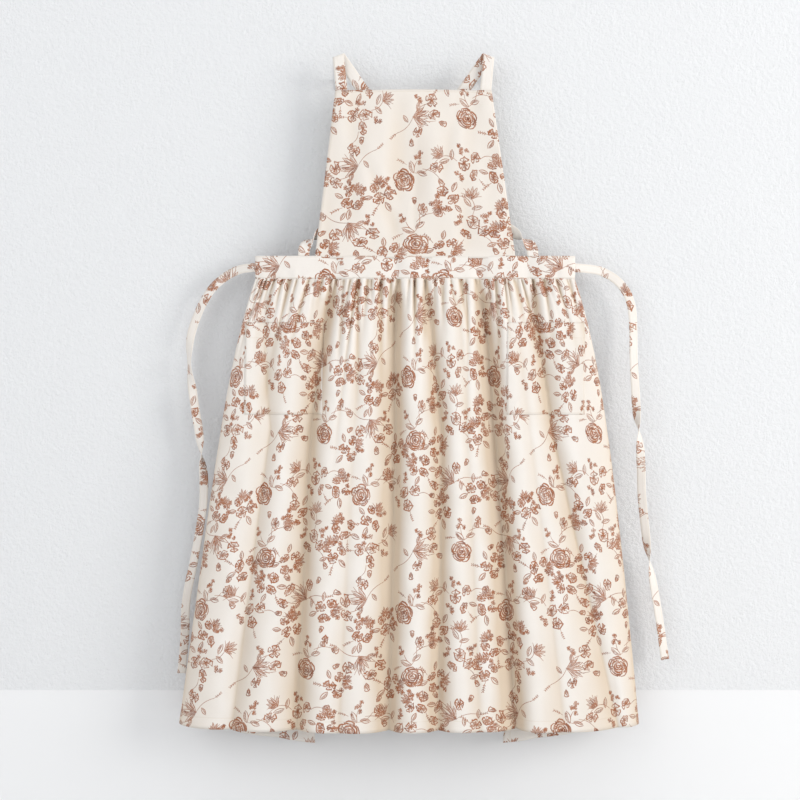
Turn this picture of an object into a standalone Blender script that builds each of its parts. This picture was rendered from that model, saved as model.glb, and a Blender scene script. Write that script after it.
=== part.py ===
"""Cross-back pinafore apron hanging on two wall hooks.

Metres, +Z up. The wall is the plane Y = 0 and the apron hangs in front of it, at -Y.
The origin is on the wall, midway between the two hook plates, at their mid height.
Cloth pieces are open surfaces with a Solidify wall, and sewn seams are butt joints
with a small gap. The hooks are a plate, a riveted prong and two countersunk screws.
"""

import math

import bpy
import numpy as np

# ---- driving sizes -------------------------------------------------------------

CLOTH = 0.0015              # wall of one cloth layer
SEAM_GAP = 0.0004           # gap left between pieces that touch
SIDE_GAP = 0.0009           # gap at the side folds, where front and back panels meet
LAYER_GAP = 0.0004          # gap between an outer layer and its lining

HOOK_SPACING = 0.2524       # between the two prongs
PLATE_WIDTH = 0.014
PLATE_HEIGHT = 0.048
PLATE_THICK = 0.0025
SCREW_SPACING = 0.036
SCREW_HEAD_R = 0.0034
SCREW_SHANK_R = 0.0017
SCREW_LENGTH = 0.020
SCREW_CLEARANCE = 0.0003
PRONG_R = 0.003
PRONG_REACH = 0.048         # wall to the upright's axis
PRONG_ROOT_Z = -0.006       # height of the arm where it leaves the plate
PRONG_BEND_R = 0.008
PRONG_TOP_Z = 0.0257

STRAP_WIDTH = 0.0195
STRAP_RISE = 0.0583         # bib top edge to the middle of the strap's fold
STRAP_RUN_ANGLE = 35.6      # of the back run below the fold, from straight down, in degrees
STRAP_END_REACH = {"left": 0.202, "right": 0.186}   # where a strap ends, past the middle
CROSSING_STEP = 0.004       # the right strap passes this much nearer the wall

BIB_TOP_WIDTH = 0.263
BIB_BOTTOM_WIDTH = 0.340
BIB_HEIGHT = 0.278
BIB_TOP_Y = -0.05415        # middle of the outer layer, at the top edge

WAIST_WIDTH = 0.541         # the band's front, fold to fold
BAND_HEIGHT = 0.039
BAND_BACK_LENGTH = 0.092    # of each end that wraps behind
BAND_FOLD_R = 0.010
BAND_FOLD_Y = -0.0493       # of the line that the band's ends fold round

SKIRT_LENGTH = 0.7635       # band's lower edge to hem
HEM_WIDTH = 0.794
HEM_DEPTH = 0.075           # the front's bulge at the hem, ahead of its side folds
HEM_FOLD_R = 0.017
SIDE_BULGE = 0.0318         # how much the gathers push the sides out under the band
WING_HEM_LENGTH = 0.243     # side fold to a back panel's free edge, at the hem
WING_DROOP = 0.043          # a back panel's free corner below the front's hem

POCKET_WIDTH = 0.132
POCKET_HEIGHT = 0.155
POCKET_DROP = 0.075         # band's lower edge to the pocket's mouth
POCKET_CENTRE = 0.222       # from the middle of the apron
POCKET_CLEARANCE = 0.0009

TIE_WIDTH = 0.015
TIE_Y = -0.036

HINGE_OUTSET = 0.0200       # a back panel's swing axis, outside the chord of its side fold

# Soft folds of the skirt's front: place across (share of half width) at the top and
# at the hem, depth in metres at the top and at the hem, and width (same share).
FOLDS = (
    (-0.90, -0.75, 0.008, 0.009, 0.080),
    (-0.50, -0.49, 0.013, 0.012, 0.070),
    (-0.11, -0.09, 0.014, 0.017, 0.085),
    (0.09, 0.13, 0.008, 0.012, 0.070),
    (0.42, 0.47, 0.015, 0.019, 0.080),
    (0.70, 0.88, 0.011, 0.008, 0.090),
)
# Waves of a back panel: place along it from the side fold, depth and width.
WING_FOLDS = ((0.34, 0.006, 0.13), (0.70, 0.005, 0.12))
# A tie's route: drop below the band's middle, and distance outside the skirt's edge.
TIE_ROUTES = {
    "left": (
        (0.000, 0.0100), (0.003, 0.034), (0.016, 0.057), (0.036, 0.072), (0.064, 0.081),
        (0.105, 0.086), (0.150, 0.080), (0.195, 0.067), (0.245, 0.051), (0.300, 0.033),
        (0.360, 0.018), (0.430, 0.013), (0.500, 0.016), (0.565, 0.021), (0.630, 0.016),
        (0.704, 0.012),
    ),
    "right": (
        (0.000, 0.0100), (0.001, 0.030), (0.007, 0.053), (0.022, 0.075), (0.046, 0.085),
        (0.080, 0.083), (0.130, 0.073), (0.200, 0.062), (0.270, 0.057), (0.340, 0.052),
        (0.410, 0.048), (0.480, 0.049), (0.550, 0.053), (0.615, 0.057), (0.680, 0.060),
    ),
}

# ---- derived sizes -------------------------------------------------------------

HOOK_X = HOOK_SPACING / 2
FOLD_R = PRONG_R + 0.0003 + CLOTH / 2              # strap's middle round the prong
FOLD_AXIS_Z = PRONG_TOP_Z - PRONG_R                # height of the fold's axis
BIB_TOP_Z = FOLD_AXIS_Z + FOLD_R + CLOTH / 2 - STRAP_RISE
WAIST_TOP_Z = BIB_TOP_Z - BIB_HEIGHT
WAIST_LOW_Z = WAIST_TOP_Z - BAND_HEIGHT
HEM_Z = WAIST_LOW_Z - SEAM_GAP - SKIRT_LENGTH
BAND_MID_Z = (WAIST_TOP_Z + WAIST_LOW_Z) / 2
BAND_Y = BAND_FOLD_Y - BAND_FOLD_R                 # middle of the band's outer layer
LINING_STEP = CLOTH + LAYER_GAP
FRONT_COLUMNS = np.sin(np.linspace(-1, 1, 91) * math.pi / 2)   # across the skirt's front
FRONT_ROWS = np.linspace(0, 1, 13) ** 1.15                     # shares of its length
BIB_LOW_Y = BAND_Y
STRAP_AT_BIB = BIB_TOP_WIDTH / 2 - STRAP_WIDTH / 2 - 0.0003


# ---- materials and helpers -------------------------------------------------------


def material(name, colour, roughness, metallic=0.0):
    """A Principled material of one colour."""
    made = bpy.data.materials.new(name)
    made.use_nodes = True
    shader = made.node_tree.nodes["Principled BSDF"]
    shader.inputs["Base Color"].default_value = (*colour, 1.0)
    shader.inputs["Roughness"].default_value = roughness
    shader.inputs["Metallic"].default_value = metallic
    made.diffuse_color = (*colour, 1.0)
    return made


def link(obj, collection, parent, finish):
    """Puts a finished object in its collection, under its parent, in its material."""
    for other in list(obj.users_collection):
        other.objects.unlink(obj)
    collection.objects.link(obj)
    obj.parent = parent
    obj.data.materials.clear()
    obj.data.materials.append(finish)
    return obj


def empty(name, place, collection, parent=None):
    """An empty on a joint's axis. Its children keep their places in world space."""
    made = bpy.data.objects.new(name, None)
    collection.objects.link(made)
    made.parent = parent
    offset = np.zeros(3) if parent is None else np.array(parent["place"])
    made.location = np.array(place) - offset
    made["place"] = [float(v) for v in place]
    return made


def grid_mesh(name, points):
    """An open surface through a grid of points, rows by columns by 3."""
    rows, columns = points.shape[:2]
    index = np.arange(rows * columns).reshape(rows, columns)
    quads = np.stack(
        [index[:-1, :-1], index[:-1, 1:], index[1:, 1:], index[1:, :-1]], axis=-1
    )
    mesh = bpy.data.meshes.new(name)
    mesh.from_pydata(points.reshape(-1, 3).tolist(), [], quads.reshape(-1, 4).tolist())
    return mesh


def cloth(name, points, collection, parent, finish, wall=CLOTH):
    """A cloth piece: the surface through the points, thickened equally to both sides."""
    origin = np.array(parent["place"])
    mesh = grid_mesh(name, np.asarray(points, float) - origin)
    obj = bpy.data.objects.new(name, mesh)
    solid = obj.modifiers.new("Wall", "SOLIDIFY")
    solid.thickness = wall
    solid.offset = 0.0
    link(obj, collection, parent, finish)
    mesh.shade_smooth()
    return obj


def smooth_path(route, count):
    """Points at even steps of length along a smooth (Catmull-Rom) curve through a route."""
    route = np.asarray(route, float)
    ends = np.vstack([2 * route[0] - route[1], route, 2 * route[-1] - route[-2]])
    t = np.linspace(0, 1, 24, endpoint=False)[:, None]
    pieces = []
    for a, b, c, d in zip(ends[:-3], ends[1:-2], ends[2:-1], ends[3:]):
        pieces.append(
            0.5 * (2 * b + (c - a) * t + (2 * a - 5 * b + 4 * c - d) * t**2
                   + (3 * b - a - 3 * c + d) * t**3)
        )
    dense = np.vstack([*pieces, route[-1]])
    length = np.r_[0, np.cumsum(np.linalg.norm(np.diff(dense, axis=0), axis=1))]
    even = np.linspace(0, length[-1], count)
    return np.stack([np.interp(even, length, dense[:, k]) for k in range(3)], axis=1)


def tangents(path):
    """Unit directions along a path of points."""
    step = np.gradient(path, axis=0)
    return step / np.linalg.norm(step, axis=1, keepdims=True)


# ---- skirt and band shape --------------------------------------------------------


def half_width(s):
    """Half the skirt's width at share s of its length: a quick flare, then a straight one."""
    straight = HEM_WIDTH / 2 - WAIST_WIDTH / 2 - SIDE_BULGE
    return WAIST_WIDTH / 2 + SIDE_BULGE * (1 - np.exp(-s / 0.174)) + straight * s


def middle_x(s):
    """The skirt's middle: it leans slightly to the left as it falls."""
    return 0.003 * (1 - s) - 0.007 * s**2


def fold_line_y(s):
    """Depth of the side folds."""
    return BAND_FOLD_Y - 0.006 * s


def level(s):
    """Height of the front at share s of the skirt's length."""
    return WAIST_LOW_Z - SEAM_GAP - SKIRT_LENGTH * s


def fold_depth(across, s):
    """Depth of the front's soft folds: a Gaussian valley along each fold's line."""
    total = 0.0
    grow = np.clip(s / 0.10, 0, 1)
    for top, low, deep_top, deep_low, wide in FOLDS:
        centre = top + (low - top) * s
        deep = deep_top + (deep_low - deep_top) * s
        total = total + deep * grow * np.exp(-(((across - centre) / wide) ** 2))
    return total * np.clip((1 - np.abs(across)) / 0.08, 0, 1)


def front_point(across, s):
    """The skirt's front at across (-1 to 1, side fold to side fold) and share s of length.

    The plan section is a superellipse of half width half_width, and its depth grows from
    the band's fold radius to HEM_DEPTH.
    """
    across, s = np.broadcast_arrays(np.asarray(across, float), np.asarray(s, float))
    power = 4.0 - 1.4 * np.clip(s, 0, 1)
    depth = BAND_FOLD_R + (HEM_DEPTH - BAND_FOLD_R) * s * (1.3 - 0.3 * s)
    inside = np.clip(1 - np.abs(across) ** power, 0, 1)
    y = fold_line_y(s) - depth * inside ** (1 / power) + fold_depth(across, s)
    return np.stack([middle_x(s) + across * half_width(s), y, level(s)], axis=-1)


def beside(points, distance):
    """A grid of points moved along its own normals, forwards where distance is positive."""
    rows = np.gradient(points, axis=0)
    columns = np.gradient(points, axis=1)
    normal = np.cross(columns, rows)
    normal /= np.linalg.norm(normal, axis=-1, keepdims=True)
    return points - normal * distance


def wing_point(side, along, s, inset=0.0):
    """A back panel at distance along from the side fold, at share s of the length.

    The plan section turns a quarter circle behind the side fold and then runs straight
    towards the middle. inset nests a lining inside the turn.
    """
    along, s = np.broadcast_arrays(np.asarray(along, float), np.asarray(s, float))
    radius = BAND_FOLD_R + (HEM_FOLD_R - BAND_FOLD_R) * np.clip(s, 0, 1)
    turn = np.clip(along / radius, 0, math.pi / 2)
    straight = np.clip(along - radius * math.pi / 2, 0, None)
    x = half_width(s) - radius + (radius - inset) * np.cos(turn) - straight
    y = fold_line_y(s) + (radius - inset) * np.sin(turn)
    return np.stack([middle_x(s) + side * x, y, level(s)], axis=-1)


def skirt_front(collection, parent, finish):
    """The gathered front panel, from side fold to side fold."""
    points = front_point(FRONT_COLUMNS[None, :], FRONT_ROWS[:, None])
    return cloth("skirt_front", points, collection, parent, finish)


def skirt_back(name, side, collection, parent, finish):
    """A back panel: it hangs from the band's end, behind the front, and droops inwards."""
    share = np.linspace(0, 1, 25)
    s = np.linspace(0, 1, 11)
    length = BAND_BACK_LENGTH + (WING_HEM_LENGTH - BAND_BACK_LENGTH) * s
    along = SIDE_GAP + (length[:, None] - SIDE_GAP) * share[None, :]
    points = wing_point(side, along, s[:, None])
    reach = np.clip((along - HEM_FOLD_R) / (WING_HEM_LENGTH - HEM_FOLD_R), 0, 1)
    points[..., 2] -= WING_DROOP * s[:, None] * reach
    for centre, deep, wide in WING_FOLDS:
        wave = np.exp(-(((share - centre) / wide) ** 2))
        points[..., 1] += deep * wave[None, :] * np.clip(s / 0.25, 0, 1)[:, None]
    return cloth(name, points, collection, parent, finish)


def band_front(name, step, collection, parent, finish):
    """The waistband across the front. step nests the lining behind the outer layer."""
    across = np.sin(np.linspace(-1, 1, 49) * math.pi / 2)
    heights = np.linspace(WAIST_TOP_Z - SEAM_GAP, WAIST_LOW_Z, 3)
    points = np.repeat(front_point(across, 0.0)[None], 3, axis=0)
    points[..., 2] = heights[:, None]
    points = beside(points, -step)
    points[:, [0, -1], 1] = BAND_FOLD_Y
    return cloth(name, points, collection, parent, finish)


def band_back(name, side, step, collection, parent, finish):
    """One end of the waistband, folded behind the front."""
    along = np.linspace(SIDE_GAP, BAND_BACK_LENGTH, 17)
    heights = np.linspace(WAIST_TOP_Z - SEAM_GAP, WAIST_LOW_Z, 3)
    points = np.repeat(wing_point(side, along, 0.0, inset=step)[None], 3, axis=0)
    points[..., 2] = heights[:, None]
    return cloth(name, points, collection, parent, finish)


def sewn_point(across, s):
    """A place on the front panel as it is built: straight between its own rows."""
    row = np.clip(np.searchsorted(FRONT_ROWS, s) - 1, 0, len(FRONT_ROWS) - 2)
    share = (s - FRONT_ROWS[row]) / (FRONT_ROWS[row + 1] - FRONT_ROWS[row])
    upper = front_point(across, FRONT_ROWS[row])
    lower = front_point(across, FRONT_ROWS[row + 1])
    return upper + (lower - upper) * share[..., None]


def pocket(name, side, collection, parent, finish):
    """A patch pocket that follows the front's folds."""
    top = POCKET_DROP / SKIRT_LENGTH
    low = (POCKET_DROP + POCKET_HEIGHT) / SKIRT_LENGTH
    s = np.linspace(top, low, 9)[:, None]
    shift = np.linspace(-POCKET_WIDTH / 2, POCKET_WIDTH / 2, 25)[None, :]
    across = (side * POCKET_CENTRE + shift) / half_width(s)
    points = beside(sewn_point(across, s), CLOTH + POCKET_CLEARANCE)
    return cloth(name, points, collection, parent, finish)


# ---- bib -------------------------------------------------------------------------


def bib(name, step, collection, parent, finish):
    """The bib, a tapered panel that leans out to meet the waistband."""
    down = np.linspace(0, 1, 15)[:, None]
    across = np.linspace(-1, 1, 13)[None, :]
    half = (BIB_TOP_WIDTH + (BIB_BOTTOM_WIDTH - BIB_TOP_WIDTH) * down) / 2
    x = across * half + middle_x(0.0) * down
    z = BIB_TOP_Z - BIB_HEIGHT * down + 0 * across
    y = BIB_TOP_Y + (BIB_LOW_Y - BIB_TOP_Y) * down + step + 0 * across
    return cloth(name, np.stack([x, y, z], axis=-1), collection, parent, finish)


# ---- straps and ties ---------------------------------------------------------------


def strap_stations(side_name):
    """Middle points and rulings of one shoulder strap, worked out for the left one.

    The front strip climbs from the bib to the prong, goes half round it on a cylinder
    whose axis halves the angle between strip and back run, and the back run falls
    across to the far side of the band, where it makes a half twist.
    """
    foot = np.array([-STRAP_AT_BIB, BIB_TOP_Y + LINING_STEP / 2, BIB_TOP_Z + SEAM_GAP])
    axis = np.array([-HOOK_X, -PRONG_REACH, FOLD_AXIS_Z])
    lean = math.atan2(HOOK_X - STRAP_AT_BIB, FOLD_AXIS_Z - foot[2])
    run = math.radians(STRAP_RUN_ANGLE)
    tilt = (lean + run) / 2
    along = np.array([math.cos(tilt), 0, math.sin(tilt)])
    normal = np.array([-math.sin(tilt), 0, math.cos(tilt)])
    upward = np.array([-math.sin(lean), 0, math.cos(lean)])
    helix = math.asin(float(upward @ along))
    half = STRAP_WIDTH / 2

    level = np.array([1 / math.cos(lean), 0, 0])
    strip_top = axis + np.array([0, -FOLD_R, 0])
    share = np.linspace(0, 1, 6)[:-1, None]
    strip = foot + (strip_top - foot) * share
    strip_rule = level + (along / math.cos(helix) - level) * share**1.5

    angle = np.linspace(0, math.pi, 13)[:, None]
    bend = (
        axis
        + along * FOLD_R * angle * math.tan(helix)
        + normal * FOLD_R * np.sin(angle)
        - np.array([0, 1, 0]) * FOLD_R * np.cos(angle)
    )
    bend_rule = np.repeat((along / math.cos(helix))[None], len(angle), axis=0)

    away = np.array([math.sin(run), 0, -math.cos(run)])
    start = bend[-1]
    end_x = STRAP_END_REACH[side_name]
    end = np.array([end_x, BIB_LOW_Y + LINING_STEP / 2, WAIST_TOP_Z + SEAM_GAP])
    nearer = CROSSING_STEP if side_name == "right" else 0.0
    span = end - start
    # Shares of the way across and down, and depth behind the prong's line.
    middle = (
        (0.330, 0.400, 0.001 + nearer),
        (0.530, 0.580, 0.001 + nearer),
        (0.710, 0.735, 0.000 + nearer * 0.6),
        (0.857, 0.848, -0.0030),
        (0.945, 0.908, -0.0075),
        (0.992, 0.952, -0.0115),
    )
    route = [start, start + away * 0.030, start + away * 0.072 + [0, nearer * 0.5, 0]]
    for over, down, deep in middle:
        route.append(start + np.array([span[0] * over, deep, span[2] * down]))
    route.append(end)
    fall = smooth_path(route, 64)[1:]
    direction = tangents(np.vstack([start, fall]))[1:]
    level_rule = np.cross(direction, [0, 1, 0])
    level_rule /= np.linalg.norm(level_rule, axis=1, keepdims=True)
    third = np.cross(direction, level_rule)
    share = np.linspace(0, 1, len(fall))
    twist = math.pi * np.clip((share - 0.86) / 0.12, 0, 1)[:, None]
    twist = math.pi * (1 - np.cos(twist)) / 2
    fall_rule = level_rule * np.cos(twist) + third * np.sin(twist)
    ease = np.clip(share * 8, 0, 1)[:, None]
    fall_rule = bend_rule[-1] + (fall_rule - bend_rule[-1]) * ease
    square = np.clip((share - 0.97) / 0.03, 0, 1)[:, None]
    fall_rule = fall_rule + (np.array([-1, 0, 0]) - fall_rule) * square

    points = np.vstack([strip, bend, fall])
    rules = np.vstack([strip_rule, bend_rule, fall_rule]) * half
    if side_name == "right":
        points = points * [-1, 1, 1]
        rules = rules * [-1, 1, 1]
    return points, rules


def shoulder_strap(side_name, collection, parent, finish):
    """One shoulder strap as a ribbon on its stations."""
    points, rules = strap_stations(side_name)
    across = np.linspace(-1, 1, 3)[None, :, None]
    surface = points[:, None] + rules[:, None] * across
    name = f"shoulder_strap_{side_name}"
    return cloth(name, surface, collection, parent, finish)


def tie_route(side_name):
    """A tie's route in world space, outside the skirt's edge all the way down."""
    side = -1 if side_name == "left" else 1
    route = []
    for drop, outside in TIE_ROUTES[side_name]:
        z = BAND_MID_Z - drop
        s = max((WAIST_LOW_Z - z) / SKIRT_LENGTH, 0.0)
        edge = middle_x(s) + side * half_width(s)
        ease = min(outside / 0.05, 1.0) if z > WAIST_LOW_Z else 1.0
        y = BAND_FOLD_Y + (TIE_Y - BAND_FOLD_Y) * ease
        route.append((edge + side * outside, y, z))
    return np.array(route)


def tie_pivot(side_name):
    """The pivot: the centre of the tie's rounded root, just outside the band's fold."""
    side = -1 if side_name == "left" else 1
    x = middle_x(0.0) + side * (WAIST_WIDTH / 2 + CLOTH / 2 + SEAM_GAP + TIE_WIDTH / 2)
    return np.array([x, BAND_FOLD_Y, BAND_MID_Z])


def waist_tie(side_name, collection, parent, finish):
    """One waist tie: a flat ribbon with a rounded root that turns on the pivot."""
    side = -1 if side_name == "left" else 1
    pivot = tie_pivot(side_name)
    route = np.vstack([pivot, tie_route(side_name)[1:]])
    path = smooth_path(route, 70)
    direction = tangents(path)
    rule = np.cross([0, 1, 0], direction)
    rule /= np.linalg.norm(rule, axis=1, keepdims=True)
    radius = TIE_WIDTH / 2
    back = np.linspace(0, math.pi / 2, 6)[:-1]
    root = pivot - np.outer(np.cos(back) * radius, [side, 0, 0])
    path = np.vstack([root, path])
    widths = np.r_[np.sin(back) * radius + 0.0006, np.full(len(direction), radius)]
    rule = np.vstack([np.repeat(rule[:1], len(back), axis=0), rule])
    across = np.linspace(-1, 1, 3)[None, :, None]
    surface = path[:, None] + (rule * widths[:, None])[:, None] * across
    return cloth(f"waist_tie_{side_name}", surface, collection, parent, finish)


# ---- hooks -------------------------------------------------------------------------


def cutter(obj, collection):
    """Marks an object as a cutter."""
    for other in list(obj.users_collection):
        other.objects.unlink(obj)
    collection.objects.link(obj)
    obj.hide_render = True
    obj.display_type = "WIRE"
    return obj


def bore(name, x, z, radius, cutters):
    """A cutter along Y that goes right through the plate."""
    bpy.ops.mesh.primitive_cylinder_add(
        vertices=32, radius=radius, depth=PLATE_THICK * 4,
        location=(x, -PLATE_THICK / 2, z), rotation=(math.pi / 2, 0, 0),
    )
    made = bpy.context.object
    made.name = name
    return cutter(made, cutters)


def countersink(name, x, z, cutters):
    """A conical cutter for a screw head, wide at the plate's front face."""
    depth = SCREW_HEAD_R - SCREW_SHANK_R
    wide = SCREW_HEAD_R + SCREW_CLEARANCE
    bpy.ops.mesh.primitive_cone_add(
        vertices=32, radius1=wide - depth, radius2=wide + depth, depth=2 * depth,
        location=(x, -PLATE_THICK, z), rotation=(math.pi / 2, 0, 0),
    )
    made = bpy.context.object
    made.name = name
    return cutter(made, cutters)


def cut(obj, other):
    """Takes a cutter from an object."""
    boolean = obj.modifiers.new("Cut", "BOOLEAN")
    boolean.operation = "DIFFERENCE"
    boolean.object = other


def hook_plate(side_name, collection, cutters, parent, finish):
    """The wall plate, with two countersunk holes and the prong's rivet hole."""
    side = -1 if side_name == "left" else 1
    bpy.ops.mesh.primitive_cube_add(
        size=1, location=(side * HOOK_X, -PLATE_THICK / 2, 0),
        scale=(PLATE_WIDTH, PLATE_THICK, PLATE_HEIGHT),
    )
    plate = bpy.context.object
    plate.name = f"hook_plate_{side_name}"
    bpy.ops.object.transform_apply(location=False, rotation=False, scale=True)
    edges = plate.data.attributes.new("bevel_weight_edge", "FLOAT", "EDGE")
    for edge in plate.data.edges:
        a, b = (plate.data.vertices[i].co for i in edge.vertices)
        edges.data[edge.index].value = float(abs(a.y - b.y) > PLATE_THICK / 2)
    corner = plate.modifiers.new("Corners", "BEVEL")
    corner.limit_method = "WEIGHT"
    corner.width = PLATE_WIDTH * 0.3
    corner.segments = 5
    x = side * HOOK_X
    for end, word in ((1, "upper"), (-1, "lower")):
        z = end * SCREW_SPACING / 2
        cut(plate, bore(f"bore_{side_name}_{word}", x, z,
                        SCREW_SHANK_R + SCREW_CLEARANCE, cutters))
        cut(plate, countersink(f"sink_{side_name}_{word}", x, z, cutters))
    cut(plate, bore(f"bore_{side_name}_prong", x, PRONG_ROOT_Z,
                    PRONG_R + SCREW_CLEARANCE, cutters))
    return link(plate, collection, parent, finish)


def hook_prong(side_name, collection, parent, finish):
    """The round prong: out from the plate, round a bend, and up to a domed tip."""
    side = -1 if side_name == "left" else 1
    x = side * HOOK_X
    turn = np.linspace(0, math.pi / 2, 9)
    centre_y = -(PRONG_REACH - PRONG_BEND_R)
    centre_z = PRONG_ROOT_Z + PRONG_BEND_R
    bend = [(x, centre_y - PRONG_BEND_R * math.sin(a), centre_z - PRONG_BEND_R * math.cos(a))
            for a in turn]
    dome = np.linspace(0, math.pi / 2, 7)[:-1]
    tip = [(x, -PRONG_REACH, PRONG_TOP_Z - PRONG_R + PRONG_R * math.sin(a)) for a in dome]
    points = [(x, -SCREW_CLEARANCE, PRONG_ROOT_Z), *bend, *tip]
    radii = [1.0] * (1 + len(bend)) + [math.cos(a) for a in dome]
    data = bpy.data.curves.new(f"hook_prong_{side_name}", "CURVE")
    data.dimensions = "3D"
    data.bevel_depth = PRONG_R
    data.bevel_resolution = 3
    data.use_fill_caps = True
    spline = data.splines.new("POLY")
    spline.points.add(len(points) - 1)
    for point, place, radius in zip(spline.points, points, radii):
        point.co = (*place, 1.0)
        point.radius = radius
    made = bpy.data.objects.new(f"hook_prong_{side_name}", data)
    return link(made, collection, parent, finish)


def screw_mesh():
    """A countersunk screw along -Z, head up: a half profile turned about Z."""
    depth = SCREW_HEAD_R - SCREW_SHANK_R
    profile = [
        (0.0, 0.0), (SCREW_HEAD_R, 0.0), (SCREW_SHANK_R, -depth),
        (SCREW_SHANK_R, -SCREW_LENGTH + 0.003), (0.0, -SCREW_LENGTH),
    ]
    mesh = bpy.data.meshes.new("hook_screw")
    points = [(r, 0.0, z) for r, z in profile]
    mesh.from_pydata(points, [(i, i + 1) for i in range(len(points) - 1)], [])
    return mesh


def hook_screw(side_name, word, mesh, collection, cutters, parent, finish):
    """One screw, head flush with the plate's face, with a slot across it."""
    side = -1 if side_name == "left" else 1
    z = (1 if word == "upper" else -1) * SCREW_SPACING / 2
    made = bpy.data.objects.new(f"hook_screw_{side_name}_{word}", mesh)
    made.location = (side * HOOK_X, -PLATE_THICK, z)
    made.rotation_euler = (math.pi / 2, 0, 0)
    turned = made.modifiers.new("Turn", "SCREW")
    turned.steps = 24
    turned.render_steps = 24
    turned.use_merge_vertices = True
    turned.merge_threshold = 0.00001
    turned.use_smooth_shade = True
    bpy.ops.mesh.primitive_cube_add(
        size=1, location=(side * HOOK_X, -PLATE_THICK, z),
        scale=(SCREW_HEAD_R * 3, 0.0014, 0.0009),
    )
    slot = bpy.context.object
    slot.name = f"slot_{side_name}_{word}"
    cut(made, cutter(slot, cutters))
    return link(made, collection, parent, finish)


# ---- the whole object ----------------------------------------------------------------


def main():
    for obj in list(bpy.data.objects):
        bpy.data.objects.remove(obj)
    parts = bpy.data.collections.new("pinafore_apron_on_hooks")
    cutters = bpy.data.collections.new("cutters")
    for made in (parts, cutters):
        bpy.context.scene.collection.children.link(made)
    cutters.hide_render = True

    cotton = material("printed_cotton", (0.84, 0.79, 0.72), 0.9)
    lining = material("plain_lining", (0.80, 0.74, 0.66), 0.92)
    steel = material("hook_steel", (0.55, 0.54, 0.52), 0.35, 1.0)

    hooks = empty("hooks", (0, 0, 0), parts)
    apron = empty("apron", (0, 0, 0), parts, hooks)
    screw = screw_mesh()
    for side_name in ("left", "right"):
        hook_plate(side_name, parts, cutters, hooks, steel)
        hook_prong(side_name, parts, hooks, steel)
        for word in ("upper", "lower"):
            hook_screw(side_name, word, screw, parts, cutters, hooks, steel)

    bib("bib_front", 0.0, parts, apron, cotton)
    bib("bib_lining", LINING_STEP, parts, apron, lining)
    band_front("waistband_front", 0.0, parts, apron, cotton)
    band_front("waistband_lining", LINING_STEP, parts, apron, lining)
    skirt_front(parts, apron, cotton)

    for side_name in ("left", "right"):
        side = -1 if side_name == "left" else 1
        shoulder_strap(side_name, parts, apron, cotton)
        pocket(f"patch_pocket_{side_name}", side, parts, apron, cotton)
        reach = WAIST_WIDTH / 2 + HINGE_OUTSET
        fold = (middle_x(0.0) + side * reach, BAND_FOLD_Y, WAIST_LOW_Z)
        back = empty(f"back_{side_name}", fold, parts, apron)
        skirt_back(f"skirt_back_{side_name}", side, parts, back, cotton)
        band_back(f"waistband_back_{side_name}", side, 0.0, parts, back, cotton)
        band_back(f"waistband_back_lining_{side_name}", side, LINING_STEP,
                  parts, back, lining)
        swing = empty(f"tie_{side_name}", tie_pivot(side_name), parts, apron)
        waist_tie(side_name, parts, swing, cotton)


main()
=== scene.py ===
"""A printed cotton pinafore apron hanging by its straps on two small wall hooks."""

import math

import bpy
import numpy as np
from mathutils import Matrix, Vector


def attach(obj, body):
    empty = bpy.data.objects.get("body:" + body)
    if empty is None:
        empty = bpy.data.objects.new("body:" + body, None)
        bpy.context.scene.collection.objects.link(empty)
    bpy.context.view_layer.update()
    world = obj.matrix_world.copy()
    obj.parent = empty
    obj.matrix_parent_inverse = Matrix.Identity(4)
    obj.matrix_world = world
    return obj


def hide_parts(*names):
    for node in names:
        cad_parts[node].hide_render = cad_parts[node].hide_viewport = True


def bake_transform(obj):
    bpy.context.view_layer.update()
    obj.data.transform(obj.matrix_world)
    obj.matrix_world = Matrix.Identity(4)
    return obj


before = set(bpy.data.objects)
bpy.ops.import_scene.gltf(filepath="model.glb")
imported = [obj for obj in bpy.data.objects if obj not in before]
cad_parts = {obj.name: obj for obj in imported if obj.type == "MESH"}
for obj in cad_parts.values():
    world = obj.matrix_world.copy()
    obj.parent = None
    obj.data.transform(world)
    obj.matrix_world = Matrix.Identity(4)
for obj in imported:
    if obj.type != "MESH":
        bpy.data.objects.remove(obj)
bpy.context.view_layer.update()

# ---- sizes, in metres -------------------------------------

HOOK_X = 0.1262
PRONG_AXIS_Y = -0.048
FOLD_AXIS_Z = 0.0227
STRAP_FOLD_R = 0.0033 + 0.00075     # the prong with its clearance, and half a strap's wall
STRAP_RUN_ANGLE = 35.6              # of a strap's back run, from straight down, in degrees
STRAP_END_X = {"left": 0.202, "right": 0.186}
CROSSING_STEP = {"left": 0.0, "right": 0.004}   # towards the wall, where the two cross
BIB_TOP_WIDTH = 0.263
BIB_BOTTOM_WIDTH = 0.340
BIB_HEIGHT = 0.278
BIB_TOP_Y = -0.05415
BIB_TOP_Z = -0.0308
BAND_HEIGHT = 0.039
WAIST_TOP_Z = BIB_TOP_Z - BIB_HEIGHT
WAIST_LOW_Z = WAIST_TOP_Z - BAND_HEIGHT
BAND_MID_Z = (WAIST_TOP_Z + WAIST_LOW_Z) / 2
BAND_FOLD_Y = -0.0493
BAND_FOLD_R = 0.010
BAND_TUCK = 0.905           # share of the skirt's depth before its fold line that the band keeps
BAND_Y = BAND_FOLD_Y - BAND_FOLD_R
SKIRT_LENGTH = 0.7635
SKIRT_TOP_HALF = 0.2705     # half the skirt's width under the band
SKIRT_FLARE = 0.0318        # quick flare just below the band, each side
FLARE_DROP = 0.174          # share of the length over which it builds up
SKIRT_SPREAD = 0.0947       # steady flare from band to hem, each side
SIDE_RUN = 0.127            # a side fold's run outwards from band to hem
SEAM_TUCK = 0.0015          # the skirt's top, up inside the band
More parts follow.
